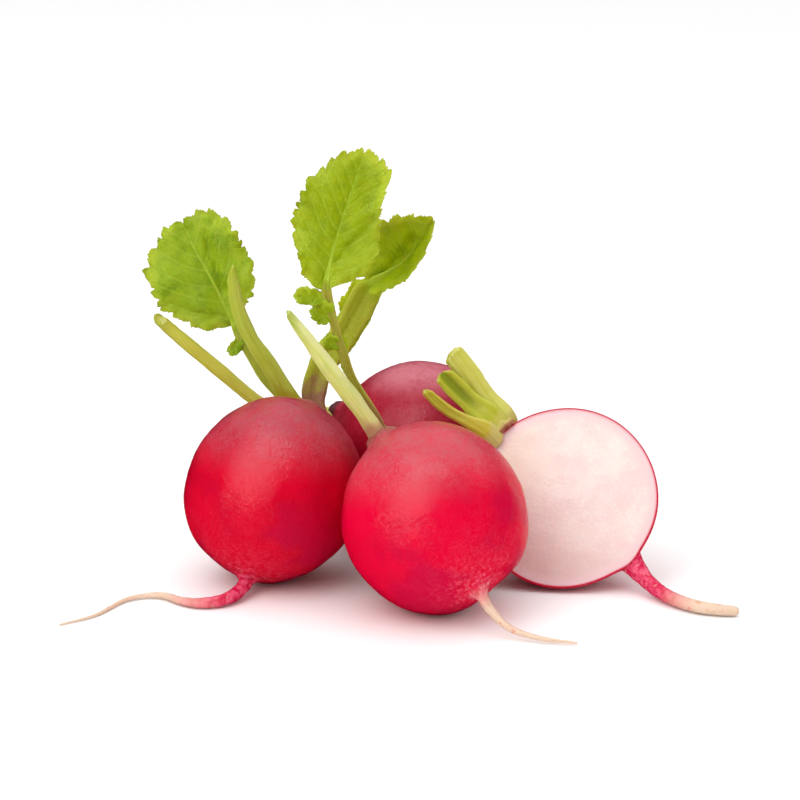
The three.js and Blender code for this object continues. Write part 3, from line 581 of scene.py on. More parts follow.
def whole_root_rings(root):
    """One skin from the taproot's tip over the bulb to the middle of the crown, and the run of each ring."""
    start = math.asin(TAIL_HOLE / root["radius"])
    stop = math.pi - math.asin(COLLAR_HOLE * root["collar"]["radius"] / root["radius"])
    bulb = skin_points(root, bulb_ways(root, np.linspace(start, stop, BULB_RINGS)))
    tail, along, ahead = tail_rings(root, share_past_skin(root), bulb[0][0] - bulb[0].mean(0))
    neck = bridge(bulb[0], bulb[1], tail[0], ahead[0], NECK_PULLS)
    crown, way = collar_rings(root)
    shoulder = bridge(bulb[-1], bulb[-2], crown[0], way, SHOULDER_PULLS)
    rings = np.concatenate([tail[::-1], neck[::-1], bulb, shoulder, crown])
    run = np.concatenate([
        mix(*TAIL_RUN, along / along[-1])[::-1], np.linspace(*NECK_RUN, BRIDGE_RINGS),
        np.linspace(*BULB_RUN, BULB_RINGS), np.linspace(*SHOULDER_RUN, BRIDGE_RINGS),
        np.linspace(*COLLAR_RUN, len(crown))])
    return rings, run


def roughened(rings, run, seed):
    """The fine relief of a root: soft dimples, creases near the taproot, a rough crown, flat on the table."""
    run = run[:, None]
    on_bulb = smooth(0.9, 1.15, run) * smooth(2.1, 1.95, run)
    on_crown = smooth(1.12, 0.9, run)
    on_tail = smooth(1.9, 2.08, run)
    girth = np.linalg.norm(rings - rings.mean(1, keepdims=True), axis=-1)
    stretched = np.stack([run * 60 + 0 * girth, 0.2 * rings[..., 0], 0.2 * rings[..., 1]], -1)
    creases = relief(stretched, TAIL_CREASES, seed + 4) + relief(rings, TAIL_GRAIN, seed + 5)
    lift = on_bulb * relief(rings, BULB_DIMPLES, seed) + on_crown * relief(rings, CROWN_KNOBS, seed + 2)
    lift = lift + on_tail * np.minimum(girth, 2.5) * creases
    return on_table(rings + normals_of(rings) * lift[..., None])


def path_of(rings):
    """For each point a place in a straightened root: round it, and along it, in mm."""
    middles = rings.mean(1)
    steps = np.linalg.norm(np.diff(rings, axis=0), axis=-1).mean(1)
    along = np.concatenate([[0], np.cumsum(steps)])
    girth = np.linalg.norm(rings - middles[:, None], axis=-1).mean(1)
    return np.stack([
        girth[:, None] * np.cos(AROUND), girth[:, None] * np.sin(AROUND),
        np.repeat(along[:, None], len(AROUND), 1)], -1)


def skin_shell(rings, run, fade):
    """A shell of a root's outside, which turns cream between two runs."""
    return shell(rings, run=run, path=path_of(rings), rim=0.0, cream=smooth(*fade, run))


def whole_root(root, seed):
    rings, run = whole_root_rings(root)
    return [skin_shell(roughened(rings, run, seed), run, root["fade"])]


# ---- The half root ----
def half_middle():
    """The bulb's centre brought into the plane of the cut."""
    normal = unit(CUT_NORMAL)
    centre = np.array(HALF["centre"])
    return centre - normal * ((centre - CUT_POINT) @ normal)


def half_bowl(polar, under=0.0):
    """Points of the half bulb's skin, or under it, in rings about the middle of the cut from its back."""
    back = -unit(CUT_NORMAL)
    middle, centre = half_middle(), np.array(HALF["centre"])
    ways = ways_about(back, *crosswise(back), polar)
    offset = middle - centre
    reach = np.full(ways.shape[:2], HALF["radius"])
    for _ in range(6):            # closes in on the reach, which hangs on the way from the bulb's centre
        along = ways @ offset
        far = -along + np.sqrt(along ** 2 - offset @ offset + reach ** 2)
        out = middle + ways * far[..., None] - centre
        reach = bulb_reach(HALF, unit(out)) - under
    return centre + out


def behind_cut(points):
    """Points brought back behind the cut where they would stand out of it within the bulb."""
    normal = unit(CUT_NORMAL)
    ahead = (points - CUT_POINT) @ normal + SUNK
    out = points - np.array(HALF["centre"])
    inside = np.linalg.norm(out, axis=-1) < bulb_reach(HALF, unit(out)) - 0.1
    return points - (np.maximum(ahead, 0) * inside)[..., None] * normal


def bowl_shell():
    """The skin of the half bulb, with its outside, its cut rim and its inside."""
    polar = math.pi / 2 * (1 - (1 - np.linspace(POLE_HOLE, 1, BOWL_RINGS)) ** 1.3)
    centre, middle = np.array(HALF["centre"]), half_middle()
    outer, inner = half_bowl(polar), half_bowl(polar, SKIN)
    off_rim = smooth(1.0, 0.7, polar / polar[-1])[:, None]
    outer = outer + unit(outer - centre) * (relief(outer, BOWL_DIMPLES, 41) * off_rim)[..., None]
    share, sunk = np.array(RIM_STEPS).T
    rim = mix(outer[-1], inner[-1], share[:, None, None]) - unit(CUT_NORMAL) * sunk[:, None, None]
    rings = np.concatenate([outer, rim, inner[-2::-1]])
    across = np.concatenate([np.zeros(len(outer)), share, np.ones(len(inner) - 1)])
    towards_root = (rings - centre) @ unit(HALF["root"])
    run = 1.5 + 0.5 * np.sin(towards_root / 11)       # from 1 at the crown to 2 at the root
    return shell(rings, run=run, path=rings - middle, rim=across, cream=0.0)


def half_collar_shell(depth=5.0):
    """The crown's collar as a closed tube that starts deep in the bulb."""
    crown, way = collar_rings(HALF)
    steps = np.linspace(0, 1, 24)[:-1, None, None]
    rings = behind_cut(np.concatenate([mix(crown[0] - way * depth, crown[0], steps), crown]))
    rings = rings + normals_of(rings) * relief(rings, HALF_KNOBS, 43)[..., None]
    run = [np.linspace(*HALF_NECK_RUN, len(steps)), np.linspace(*HALF_COLLAR_RUN, len(crown))]
    return shell(rings, run=np.concatenate(run), path=path_of(rings), rim=0.0, cream=0.0)


def half_tail_shell():
    """The half's whole taproot as a closed tube with a rounded end."""
    tail, along, _ = tail_rings(HALF, 0.0, np.array((0.0, 0.0, 1.0)))
    tail = behind_cut(tail)
    tail = tail + normals_of(tail) * relief(tail * (3, 3, 1), HALF_TAIL_GRAIN, 45)[..., None]
    pull = smooth(along[-1] - 0.9, along[-1], along)[:, None, None]
    tail = on_table(drawn_in(tail, 1 - np.sqrt(1 - 0.8 * pull ** 3)))
    return skin_shell(tail, mix(*HALF_TAIL_RUN, along / along[-1]), HALF["fade"])


def half_flesh():
    """The flesh: a very slightly domed face, with its body behind it just inside the skin."""
    normal, middle = unit(CUT_NORMAL), half_middle()
    back = half_bowl(np.linspace(math.pi / 2, POLE_HOLE, 60), FLESH_UNDER) - normal * 0.02
    share = np.concatenate([np.linspace(0.003, 0.99, 78), (0.997, 1.0)])
    out = share[:, None, None]
    face = middle + (back[0] - middle) * out
    grain = relief(face, FLESH_GRAIN, 47)[..., None]
    face = face + normal * (FLESH_DOME * (1 - out ** 4) + grain * (1 - out ** 6))
    rings = np.concatenate([face, back[1:]])
    return [shell(rings, spread=np.concatenate([share, np.ones(len(back) - 1)]), path=rings - middle)]


# ---- Stalks ----
def stalk_rings(stalk, seed, flare, web):
    """Rings of a stalk with its channel and fine ribs, how far along each is, and places round a ring.

    flare is how much wider the foot is, and web is how long it is, in mm.
    """
    route = Route(stalk["route"])
    share = np.linspace(0, 1, STALK_RINGS)
    along = route.length_at(share)
    at, ahead, left, front = route.frame(share, stalk["face"])
    width, depth = route.number(3, share) / 2, route.number(4, share) / 2
    around = (np.arange(STALK_SIDES) + 0.5) * TURN / STALK_SIDES
    across, rise = np.cos(around), np.sin(around)
    groove = np.where(rise > 0, stalk["channel"] * bell(across, GROOVE_WIDTH), 0)
    groove = groove * smooth(0.0, web, along)[:, None]
    ribs = 0.03 * np.cos(9 * around + seed) + 0.02 * np.cos(14 * around + 2 * seed)
    wander = relief(np.stack([along, 0 * along + seed, 0 * along], -1), STALK_WANDER, seed)
    foot = (flare - 1) * smooth(web, 0.0, along) ** 1.5
    size = 1 + wander[:, None] + ribs[None] + foot[:, None]
    slant = smooth(route.length - 2.2, route.length, along)[:, None] * stalk["slant"] * across
    rings = at[:, None] + left[:, None] * (width[:, None] * across * size)[..., None]
    rings = rings + front[:, None] * (depth[:, None] * (rise - 2 * groove) * size)[..., None]
    rings = rings + ahead[:, None] * slant[..., None]
    near, power, most = TIPS[stalk["tip"]]
    pull = smooth(route.length - near, route.length, along)[:, None, None] ** power
    rings = drawn_in(rings, most * pull)
    rings = rings + normals_of(rings) * relief(rings, STALK_GRAIN, seed + 1)[..., None]
    sunk = drawn_in(rings[:1], FOOT_NARROW) + unit(at[0] - at[1]) * FOOT_SINK
    return np.concatenate([sunk, rings]), np.concatenate([[-FOOT_SINK], along]), across, rise


def stalk_shell(stalk, seed, flare, web, blade_from=None):
    """A stalk with its foot sunk into the crown. From blade_from on, in mm, it is the midrib of a leaf."""
    rings, along, across, rise = stalk_rings(stalk, seed, flare, web)
    zero = np.zeros(rings.shape[:2])
    half_width, half_depth = STRAIGHT_STALK
    path = np.stack([across * half_width + zero, rise * half_depth + zero, along[:, None] + zero], -1)
    marks = dict(run=along / along[-1], path=path)
    if blade_from is not None:
        kind = smooth(blade_from + 2.0, blade_from - 1.0, along)
        marks.update(kind=kind, vein=1 - kind, valley=0.0, margin=0.0, under=0.0)
    return shell(rings, **marks)


# ---- Leaves ----
def outline_reach(radii, angle):
    """Radius of a toothless blade outline at each angle, smoothly between its radii."""
    radii = np.array(radii)
    at = angle / TURN * len(radii)
    k = np.floor(at).astype(int)
    f = at - k
    a, b, c, d = (radii[(k + step) % len(radii)] for step in (-1, 0, 1, 2))
    return b + 0.5 * f * (c - a + f * (2 * a - 5 * b + 4 * c - d + f * (3 * (b - c) + d - a)))


def tooth_reach(i, blade, seed):
    """How far the margin stands out at place i, counted in thirds of a tooth: teeth within lobes."""
    teeth = blade["teeth"]
    half = 3 * teeth / 2
    from_tip = np.minimum(i, 2 * half - i)
    phase = (half - from_tip) / 3
    number = np.floor(phase).astype(int) + teeth * (i > half)
    draw = np.random.default_rng(seed)
    sizes = draw.uniform(*TOOTH_SIZES, 2 * teeth + 3)[number]
    tops = draw.uniform(*TOOTH_TOPS, 2 * teeth + 3)[number]
    share = phase - np.floor(phase)
    small = tooth((3 * share + 0.3 * np.sin(9 * phase)) % 1, 0.75)
    lobe = tooth((phase / LOBE_TEETH + 0.25 + 0.3 * (i > half)) % 1, 0.86) ** 0.8 - 0.55
    near_foot = smooth(0.9 * half + 1.5, 0.9 * half - 1.5, from_tip)
    own = blade["tooth"] * (sizes * (tooth(share, tops) ** 0.7 - 0.55) + 0.34 * (small - 0.5))
    return 1 + near_foot * (own + blade.get("lobes", 0.0) * lobe * smooth(0, 4, from_tip))


def vein_lines(half_width, last, count, seed):
    """Side veins of a blade in its own plane, each with a few branches: lists of lines."""
    draw = np.random.default_rng(seed)
    main, fine = [], []
    for side in (1, -1):
        for k in range(count):
            start = mix(0.5, last, (k + 0.2 + 0.4 * (side + 1) / 2 + 0.25 * draw.random()) / count)
            far = half_width * (1.15 - 0.3 * k / count)
            t = np.linspace(0, 1, 14)
            slope = 0.62 + 0.5 * k / count + 0.15 * draw.random()
            s = start + far * (slope * t + 0.22 * t ** 2 + 0.03 * np.sin(9 * t + k))
            x = side * far * t
            main.append(np.stack([s, x], -1))
            for branch in range(4):
                at = 2 + 2 * branch + draw.integers(0, 2)
                t = np.linspace(0, 1, 6)
                spread = 1 if (branch + k) % 2 else -1
                run = far * draw.uniform(0.28, 0.45)
                bs = s[at] + run * (t * (0.66 + 0.55 * spread) + 0.2 * t ** 2)
                bx = x[at] + side * run * t * (0.62 - 0.38 * spread)
                fine.append(np.stack([bs, bx], -1))
    return main, fine


def line_distance(flat, lines):
    """Distance of flat points from the nearest of some lines."""
    best = np.full(flat.shape[:-1], 1e9)
    for line in lines:
        for a, b in zip(line[:-1], line[1:]):
            run = b - a
            t = np.clip(((flat - a) @ run) / (run @ run), 0, 1)
            best = np.minimum(best, np.linalg.norm(flat - a - t[..., None] * run, axis=-1))
    return best


def rolled(blade, angle):
    """How far the margin rolls up at each angle, in mm."""
    total = 0 * angle
    for middle, width, lift in blade.get("rolls", ()):
        away = (angle - middle + math.pi) % TURN - math.pi
        total = total + lift * bell(away, width)
    return total


class FlatBlade:
    """A leaf blade laid flat, in rings from its centre to its toothed margin, with its net of veins."""

    def __init__(self, blade, seed, rib_end):
        self.blade, self.seed = blade, seed
        self.large = max(blade["radii"]) > LARGE_BLADE
        within, near_edge = BLADE_RINGS if self.large else LEAFLET_RINGS
        share = np.concatenate([np.linspace(0.02, 0.7, within), np.linspace(0.71, 1, near_edge)])
        self.share = share[:, None]
        self.fade = smooth(1.0, 0.9, self.share)
        count = TOOTH_POINTS * blade["teeth"]
        even = TURN * np.arange(count) / count
        self.angle = angle = even + 0.1 * np.sin(even) * np.sin(5 * even + 1)
        edge = tooth_reach(np.arange(count) * 3 / TOOTH_POINTS, blade, seed)
        outline = outline_reach(blade["radii"], angle % TURN)
        outline = outline * (1 + 0.02 * np.sin(9 * angle + seed) * np.sin(angle / 2) ** 0.5)
        self.roll = rolled(blade, angle) * smooth(0.66, 1, self.share) ** 2
        reach = outline * self.share * (1 + (edge - 1) * smooth(0.8, 1, self.share)) - 0.35 * self.roll
        self.s = blade["centre"] + reach * np.cos(angle)
        self.across = reach * np.sin(angle)
        self.flat = np.stack([self.s, self.across], -1)
        self.solid = np.stack([self.s, self.across, 0 * self.s], -1)
        self.net, self.valley = self.veins(rib_end)

    def veins(self, rib_end):
        """How strongly a vein shows at each point, and how deep it lies between the swellings."""
        half_width = float(np.max(np.abs(self.across)))
        main, fine = vein_lines(half_width, rib_end * 0.93, self.blade.get("veins", 2), self.seed + 5)
        to_main = line_distance(self.flat, main)
        to_fine = line_distance(self.flat, fine) if self.large else to_main
        tip = self.blade["centre"] + self.blade["radii"][0]
        to_rib = np.abs(self.across) + 8 * smooth(0.93 * tip, tip, self.s)
        rib_width = mix(*RIB_WIDTHS, smooth(0, tip, self.s)) * (1 if self.large else 0.5)
        main_width, fine_width = VEIN_WIDTHS
        net = np.maximum(0.75 * bell(to_main, main_width), 0.4 * bell(to_fine, fine_width)) * self.fade
        main_width, fine_width = VALLEY_WIDTHS
        valley = np.maximum(bell(np.minimum(to_main, to_rib), main_width), 0.45 * bell(to_fine, fine_width))
        return np.maximum(net, bell(to_rib, rib_width)), valley

    def rise(self, fold):
        """How far each point stands out of the plane: fold, curl, waves, crinkles, swellings and creases."""
        blade, share, across = self.blade, self.share, self.across
        wave = np.sin(blade["waves"] * self.angle + WAVE_START) * np.abs(np.sin(self.angle))
        rise = np.abs(across) * np.sin(fold) - blade["curl"] * across ** 2
        rise = rise + blade["ruffle"] * share ** 2 * wave
        off_rib = (1 - bell(across, 1.2)) * smooth(0, 0.5, share)
        rise = rise + off_rib * relief(self.solid, BLADE_WAVES, self.seed + 3)
        rise = rise + smooth(0.75, 1, share) * relief(self.solid, MARGIN_CRINKLES, self.seed + 4)
        rise = rise + QUILT * (1 if self.large else 0.4) * (1 - self.valley) * self.fade + self.roll
        for s0, x0, s1, x1, width, depth in blade.get("folds", ()):
            crease = np.array(((s0, x0), (s1, x1)))
            rise = rise - depth * bell(line_distance(self.flat, [crease]), width) * smooth(1, 0.8, share)
        return rise


def blade_shell(route, foot, face, blade, seed, rib_end):
    """A leaf blade along a route from its foot on: a thin waved sheet with an upper and a lower side."""
    flat = FlatBlade(blade, seed, rib_end)
    length = foot + flat.s
    on_route = np.clip(length, 0, route.length)
    at, ahead, left, up = route.frame(route.share_at(on_route), face)
    at = at + ahead * (length - on_route)[..., None]
    fold = np.where(flat.across > 0, *blade["fold"])
    middle = at + left * (flat.across * np.cos(fold))[..., None] + up * flat.rise(fold)[..., None]

    out = unit(np.cross(np.roll(middle, -1, 1) - np.roll(middle, 1, 1), np.gradient(middle, axis=0)))
    out = out * np.sign((out * up).sum())
    ridge, ridge_below = VEIN_RIDGE
    thick = mix(*BLADE_THICK, smooth(0.85, 1, flat.share)) + ridge * flat.net
    upper = middle + out * (thick / 2)[..., None]
    lower = middle - out * (thick / 2 + ridge_below * flat.net)[..., None]
    shown = np.clip(flat.roll / 0.8, 0, 1)

    def double(grid):
        return np.concatenate([grid, grid[::-1]])
    return shell(
        np.concatenate([upper, lower[::-1]]), (upper[0].mean(0), lower[0].mean(0)), run=1.0, kind=0.0,
        vein=double(flat.net), valley=double(flat.valley), margin=double(flat.share[:, 0]),
        under=np.concatenate([shown, 1 - shown[::-1]]), path=double(flat.solid))


def frill_shell(route, face, frill, seed):
    """A narrow toothed strip of leaf along one edge of a leaf stalk."""
    start, stop, side, width = frill
    along = np.linspace(start, stop, FRILL_POINTS)
    share = route.share_at(along)
    at, _, left, up = route.frame(share, face)
    edge = route.number(3, share) / 2
    part = (along - start) / (stop - start)
    teeth = tooth((along / FRILL_TOOTH + 0.4 * np.sin(along)) % 1, 0.75)
    body = np.clip(np.sin(math.pi * part), 0, 1) ** 0.6 * (0.75 + 0.3 * np.sin(along * 1.3 + seed))
    steps = np.linspace(0, 1, 9)
    out = -0.25 + (width * body * (0.65 + 0.35 * teeth) + 0.25)[:, None] * steps
    start_angle = np.random.default_rng(seed).uniform(0, 6)
    bend = 0.25 * width * np.sin(1.7 * along + start_angle)[:, None] * steps ** 2
    bend = bend - 0.25 * out * steps
    middle = at[:, None] + left[:, None] * (side * (edge[:, None] + out))[..., None]
    middle = middle + up[:, None] * bend[..., None]
    thick = mix(*FRILL_THICK, steps)[:, None] * np.sin(math.pi * np.clip(part, 0.03, 0.97))[:, None, None]
    upper, lower = middle + up[:, None] * thick / 2, middle - up[:, None] * thick / 2
    rings = np.concatenate([upper, lower[:, ::-1]], axis=1)
    margin = np.concatenate([steps, steps[::-1]]) + np.zeros(rings.shape[:2])
    path = np.stack([0 * margin + along[:, None], margin * width, 0 * margin], -1)
    return shell(rings, path=path, margin=margin, run=1.0, vein=0.0, valley=0.0, under=0.0, kind=0.0)


def leaf_shells(leaf, seed):
    """A leaf's stalk and midrib, its blade, its leaflets and its frills."""
    stations, face = leaf["stalk"] + leaf["rib"], leaf["face"]
    route = Route(stations)
    foot = float(route.length_at((len(leaf["stalk"]) - 1) / (len(stations) - 1)))
    finer = leaf.get("rib_width", 0.5)
    ribbed = leaf["stalk"] + tuple((x, y, z, finer * w, 0.75 * d) for x, y, z, w, d in leaf["rib"])
    stalk = dict(route=ribbed, face=face, channel=leaf["channel"], slant=0.0, tip="point")
    wider, web = LEAF_FOOT
    shells = [stalk_shell(stalk, seed, 1 + wider / stations[0][3], web, foot)]
    shells.append(blade_shell(route, foot, face, leaf["blade"], seed, route.length - foot))
    for k, small in enumerate(leaf["leaflets"]):
        own = Route(small["route"])
        shells.append(blade_shell(own, 0.0, face, small["blade"], seed + 20 + k, own.length * 1.2))
    for k, frill in enumerate(leaf["frills"]):
        shells.append(frill_shell(route, face, frill, seed + 40 + k))
    return shells


# ---- Materials ----
def colour(red, green, blue):
    """A Blender colour from sRGB numbers of 0 to 255."""
    def linear(c):
        c /= 255
        return c / 12.92 if c <= 0.04045 else ((c + 0.055) / 1.055) ** 2.4
    return (linear(red), linear(green), linear(blue), 1.0)


def colours(tones):
    return [colour(*tone) for tone in tones]


class Look:
    """A material's node graph, with short calls for the nodes it uses."""

    def __init__(self, name):
        self.material = bpy.data.materials.new(name)
        self.material.use_nodes = True
        self.tree = self.material.node_tree
        self.shader = self.tree.nodes["Principled BSDF"]

    def node(self, kind, inputs=None, **settings):
        made = self.tree.nodes.new("ShaderNode" + kind)
        for key, value in settings.items():
            setattr(made, key, value)
        for key, value in (inputs or {}).items():
            self.feed(made.inputs[key], value)
        return made

    def feed(self, socket, value):
        if isinstance(value, bpy.types.NodeSocket):
            self.tree.links.new(value, socket)
        else:
            socket.default_value = value

    def mark(self, name, output="Fac"):
        return self.node("Attribute", attribute_name=name).outputs[output]

    def scaled(self, vector, x, y, z):
        return self.node("VectorMath", {0: vector, 1: (x, y, z)}, operation="MULTIPLY").outputs[0]

    def noise(self, vector, scale, detail=3.0, rough=0.5):
        inputs = dict(Vector=vector, Scale=scale, Detail=detail, Roughness=rough)
        return self.node("TexNoise", inputs).outputs["Fac"]

    def lines(self, vector, axis, scale):
        """Noise that only changes along an axis."""
        along = self.node("VectorMath", {0: vector, 1: axis}, operation="DOT_PRODUCT").outputs["Value"]
        inputs = dict(W=along, Scale=scale, Detail=2.0)
        return self.node("TexNoise", inputs, noise_dimensions="1D").outputs["Fac"]

    def spots(self, vector, scale):
        return self.node("TexVoronoi", dict(Vector=vector, Scale=scale)).outputs["Distance"]

    def span(self, value, low, high, to_low=0.0, to_high=1.0):
        """A value's smooth way from low to high, as a number from to_low to to_high."""
        inputs = {"Value": value, "From Min": low, "From Max": high, "To Min": to_low, "To Max": to_high}
        return self.node("MapRange", inputs, clamp=True, interpolation_type="SMOOTHSTEP").outputs["Result"]

    def math(self, operation, a, b=0.0):
        return self.node("Math", {0: a, 1: b}, operation=operation).outputs[0]

    def plus(self, a, b):
        return self.math("ADD", a, b)

    def times(self, first, *others):
        for other in others:
            first = self.math("MULTIPLY", first, other)
        return first

    def mix(self, share, a, b):
        inputs = {"Factor": share, 6: a, 7: b}
        return self.node("Mix", inputs, data_type="RGBA", clamp_factor=True).outputs[2]

    def layers(self, base, *steps):
        """A base with colours laid over it one after another, each with its share."""
        for share, tone in steps:
            base = self.mix(share, base, tone)
        return base

    def parts(self, vector):
        return self.node("SeparateXYZ", {"Vector": vector}).outputs

    def bump(self, height, distance):
        return self.node("Bump", {"Height": height, "Distance": distance, "Strength": 1.0}).outputs["Normal"]

    def finish(self, base, **sockets):
        self.feed(self.shader.inputs["Base Color"], base)
        for key, value in sockets.items():
            self.feed(self.shader.inputs[key.replace("_", " ")], value)
        return self.material


TAIL_RED = colour(206, 8, 68)
TAIL_PINK = colour(230, 92, 124)
TAIL_CREAM = colour(220, 192, 168)
TAIL_RUST = colour(208, 112, 80)
PLUM = colour(186, 12, 66)
RING_PINK = colour(214, 120, 136)
# Painted sheen: the lighter pink on top of a bulb.
TOP_SHEEN_PINK = colour(222, 136, 152)
RIM_RED = colour(176, 8, 44)
RIM_PINK = colour(236, 150, 162)
FLESH_PINK = colour(234, 194, 196)
# Painted shade in a stalk's channel.
CHANNEL_SHADE_GREEN = colour(112, 128, 6)
VEIN = colour(186, 203, 62)


def ring_layer(look, here, mottle, axis):
    """Fine pale rings high on a bulb."""
    times, span = look.times, look.span
    circles = span(look.lines(here, axis, 420.0), 0.4, 0.7)
    high_up = times(span(look.parts(here)["Z"], 0.021, 0.031), span(look.parts(here)["Y"], 0.024, 0.014))
    return times(circles, high_up, span(mottle, 0.3, 0.7), 0.4), RING_PINK


def top_sheen_layer(look, here, mottle):
    """A painted sheen: lighter pink on top of a bulb, where the overhead light falls."""
    on_top = look.span(look.parts(here)["Z"], 0.0285, 0.0325)
    return look.times(on_top, look.span(mottle, 0.2, 0.6, 0.6, 1.0), 0.6), TOP_SHEEN_PINK


def tail_colour(look, path, cream):
    """The taproot: red and pink bands that give way to cream with a few rusty spots."""
    mix, times, span = look.mix, look.times, look.span
    bands = look.noise(look.scaled(path, 0.9, 0.9, 0.8), 1.0, 3.0, 0.6)
    flecks = span(look.noise(look.scaled(path, 0.9, 0.9, 2.2), 1.0, 2.0, 0.5), 0.6, 0.7)
    return look.layers(
        TAIL_RED,
        (span(bands, 0.34, 0.66), TAIL_PINK),
        (times(flecks, 0.35), TAIL_CREAM),
        (cream, mix(times(span(bands, 0.58, 0.7), 0.6), TAIL_CREAM, TAIL_RUST)))


def rim_colour(look, path, cut):
    """The cut edge of the skin: red outside, pink and then pale towards the flesh, sooner at the top."""
    high = look.span(look.parts(path)["Z"], -8.0, 10.0)
    inward = look.plus(cut, look.times(high, 0.22))
    return look.layers(
        RIM_RED, (look.span(inward, 0.38, 0.62), RIM_PINK), (look.span(inward, 0.55, 0.9), FLESH_PINK))


def skin_look(name, tones, ring_axis=None):
    """Radish skin: red with soft blotches, dull at the crown, streaked pale towards the taproot.

    Its top is dull, partly in its own tone and partly a painted sheen from the overhead light. A pale mottle
    is painted as sheen on top and as bounce light from the floor towards the root end.

    With a ring_axis it has fine rings about that axis too, and a painted sheen of lighter pink on top.
    """
    look = Look(name)
    times, span, plus = look.times, look.span, look.plus
    base, deep, shoulder, pale, neck, top = colours(tones)
    run, path, cut = look.mark("run"), look.mark("path", "Vector"), look.mark("rim")
    here = look.node("TexCoord").outputs["Object"]
    blotch = look.noise(here, 110.0)
    mottle = look.noise(here, 520.0, 3.0, 0.6)
    grain = look.noise(here, 2300.0, 3.0, 0.6)
    streaks = look.noise(look.scaled(path, 1.2, 1.2, 0.1), 1.0, 3.0, 0.6)
    # The top, by height: where a sheen from the overhead light is painted.
    on_top = span(look.math("SUBTRACT", times(look.parts(here)["Z"], 40.0), times(run, 0.5)), 0.05, 0.6)
    # Where painted sheen (on top) and painted bounce light from the floor (towards the root end) go.
    ends = plus(on_top, span(run, 1.55, 1.98, 0.0, 0.5))
    # A pale mottle of fine grain, laid on as painted sheen and painted bounce light.
    mottled_sheen = plus(times(span(mottle, 0.35, 0.75), 0.4), times(span(grain, 0.42, 0.68), 0.7))
    plum = times(span(blotch, 0.45, 0.6), span(run, 1.5, 1.8))
    # The dull top: the skin's own dull tone together with a painted sheen from the overhead light.
    dull_top_and_sheen = times(on_top, span(plus(mottle, grain), 0.7, 1.25, 0.5, 1.0))
    near_root = times(span(run, 1.8, 2.02), span(streaks, 0.45, 0.7))
    specks = times(span(look.spots(here, 420.0), 0.14, 0.06), span(run, 1.84, 1.98))
    frayed = plus(run, times(span(streaks, 0.4, 0.65), 0.07))
    climb = plus(run, times(mottle, 0.35))

    rings = [ring_layer(look, here, mottle, ring_axis)] if ring_axis else []
    # Painted sheen of lighter pink on top of the bulb.
    top_sheen = [top_sheen_layer(look, here, mottle)] if ring_axis else []
    skin = look.layers(
        base,
        (span(blotch, 0.35, 0.68), deep),
        *rings,
        # painted sheen on top and painted bounce light towards the root end, as a pale mottle
        (times(mottled_sheen, span(ends, 0.0, 1.0, 0.03, 0.55)), pale),
        (times(plum, 0.5), PLUM),
        # dull top: own tone and painted sheen
        (times(dull_top_and_sheen, 0.9), shoulder),
        # painted sheen of lighter pink on top
        *top_sheen,
        (times(near_root, 0.5), pale),
        (times(specks, 0.28), TAIL_CREAM),
        (span(frayed, 1.99, 2.12), tail_colour(look, path, look.mark("cream"))),
        (span(climb, 1.06, 0.72), look.mix(span(climb, 0.72, 0.42), neck, top)),
        (span(cut, 0.005, 0.05), rim_colour(look, path, cut)))
    height = plus(times(mottle, 0.5), times(grain, 0.8))
    height = plus(height, times(streaks, span(run, 1.8, 2.1)))
    return look.finish(
        skin, Normal=look.bump(height, 0.00016), Roughness=span(run, 0.9, 1.25, 0.45, 0.15),
        Specular_IOR_Level=0.085, Subsurface_Weight=0.06, Subsurface_Scale=0.001)


def flesh_look():
    """The cut face: creamy white, pinker outwards, with faint rays, and painted shade at the lower left."""
    look = Look("radish_flesh")
    times, span = look.times, look.span
    path, spread = look.mark("path", "Vector"), look.mark("spread")
    x, _, z = look.parts(path)
    cloud = look.noise(path, 0.16, 3.0, 0.55)
    fine = look.noise(path, 1.6, 4.0, 0.6)
    outward = look.node("VectorMath", {0: path}, operation="NORMALIZE").outputs[0]
    rays = look.noise(look.scaled(outward, 9.0, 9.0, 9.0), 1.0, 3.0, 0.6)
    yellow = times(span(x, 0.0, -12.0), span(z, -4.0, 4.0))
    # Painted shade: greyer and darker towards the lower left of the face.
    low = span(look.plus(z, times(x, 0.5)), 3.0, -16.0)
    flesh = look.layers(
        colour(234, 214, 207),
        (span(cloud, 0.35, 0.65), colour(227, 201, 197)),
        (times(span(fine, 0.5, 0.7), 0.35), colour(242, 232, 224)),
        (times(span(rays, 0.5, 0.72), span(spread, 0.2, 0.8), 0.3), FLESH_PINK),
        (times(yellow, 0.8), colour(226, 200, 178)),
        # painted shade at the lower left
        (times(low, 0.8), colour(214, 172, 168)),
        (times(span(spread, 0.86, 0.985), 0.9), FLESH_PINK))
    return look.finish(
        flesh, Normal=look.bump(fine, 0.0001), Roughness=0.42, Specular_IOR_Level=0.3,
        Subsurface_Weight=0.3, Subsurface_Scale=0.003)


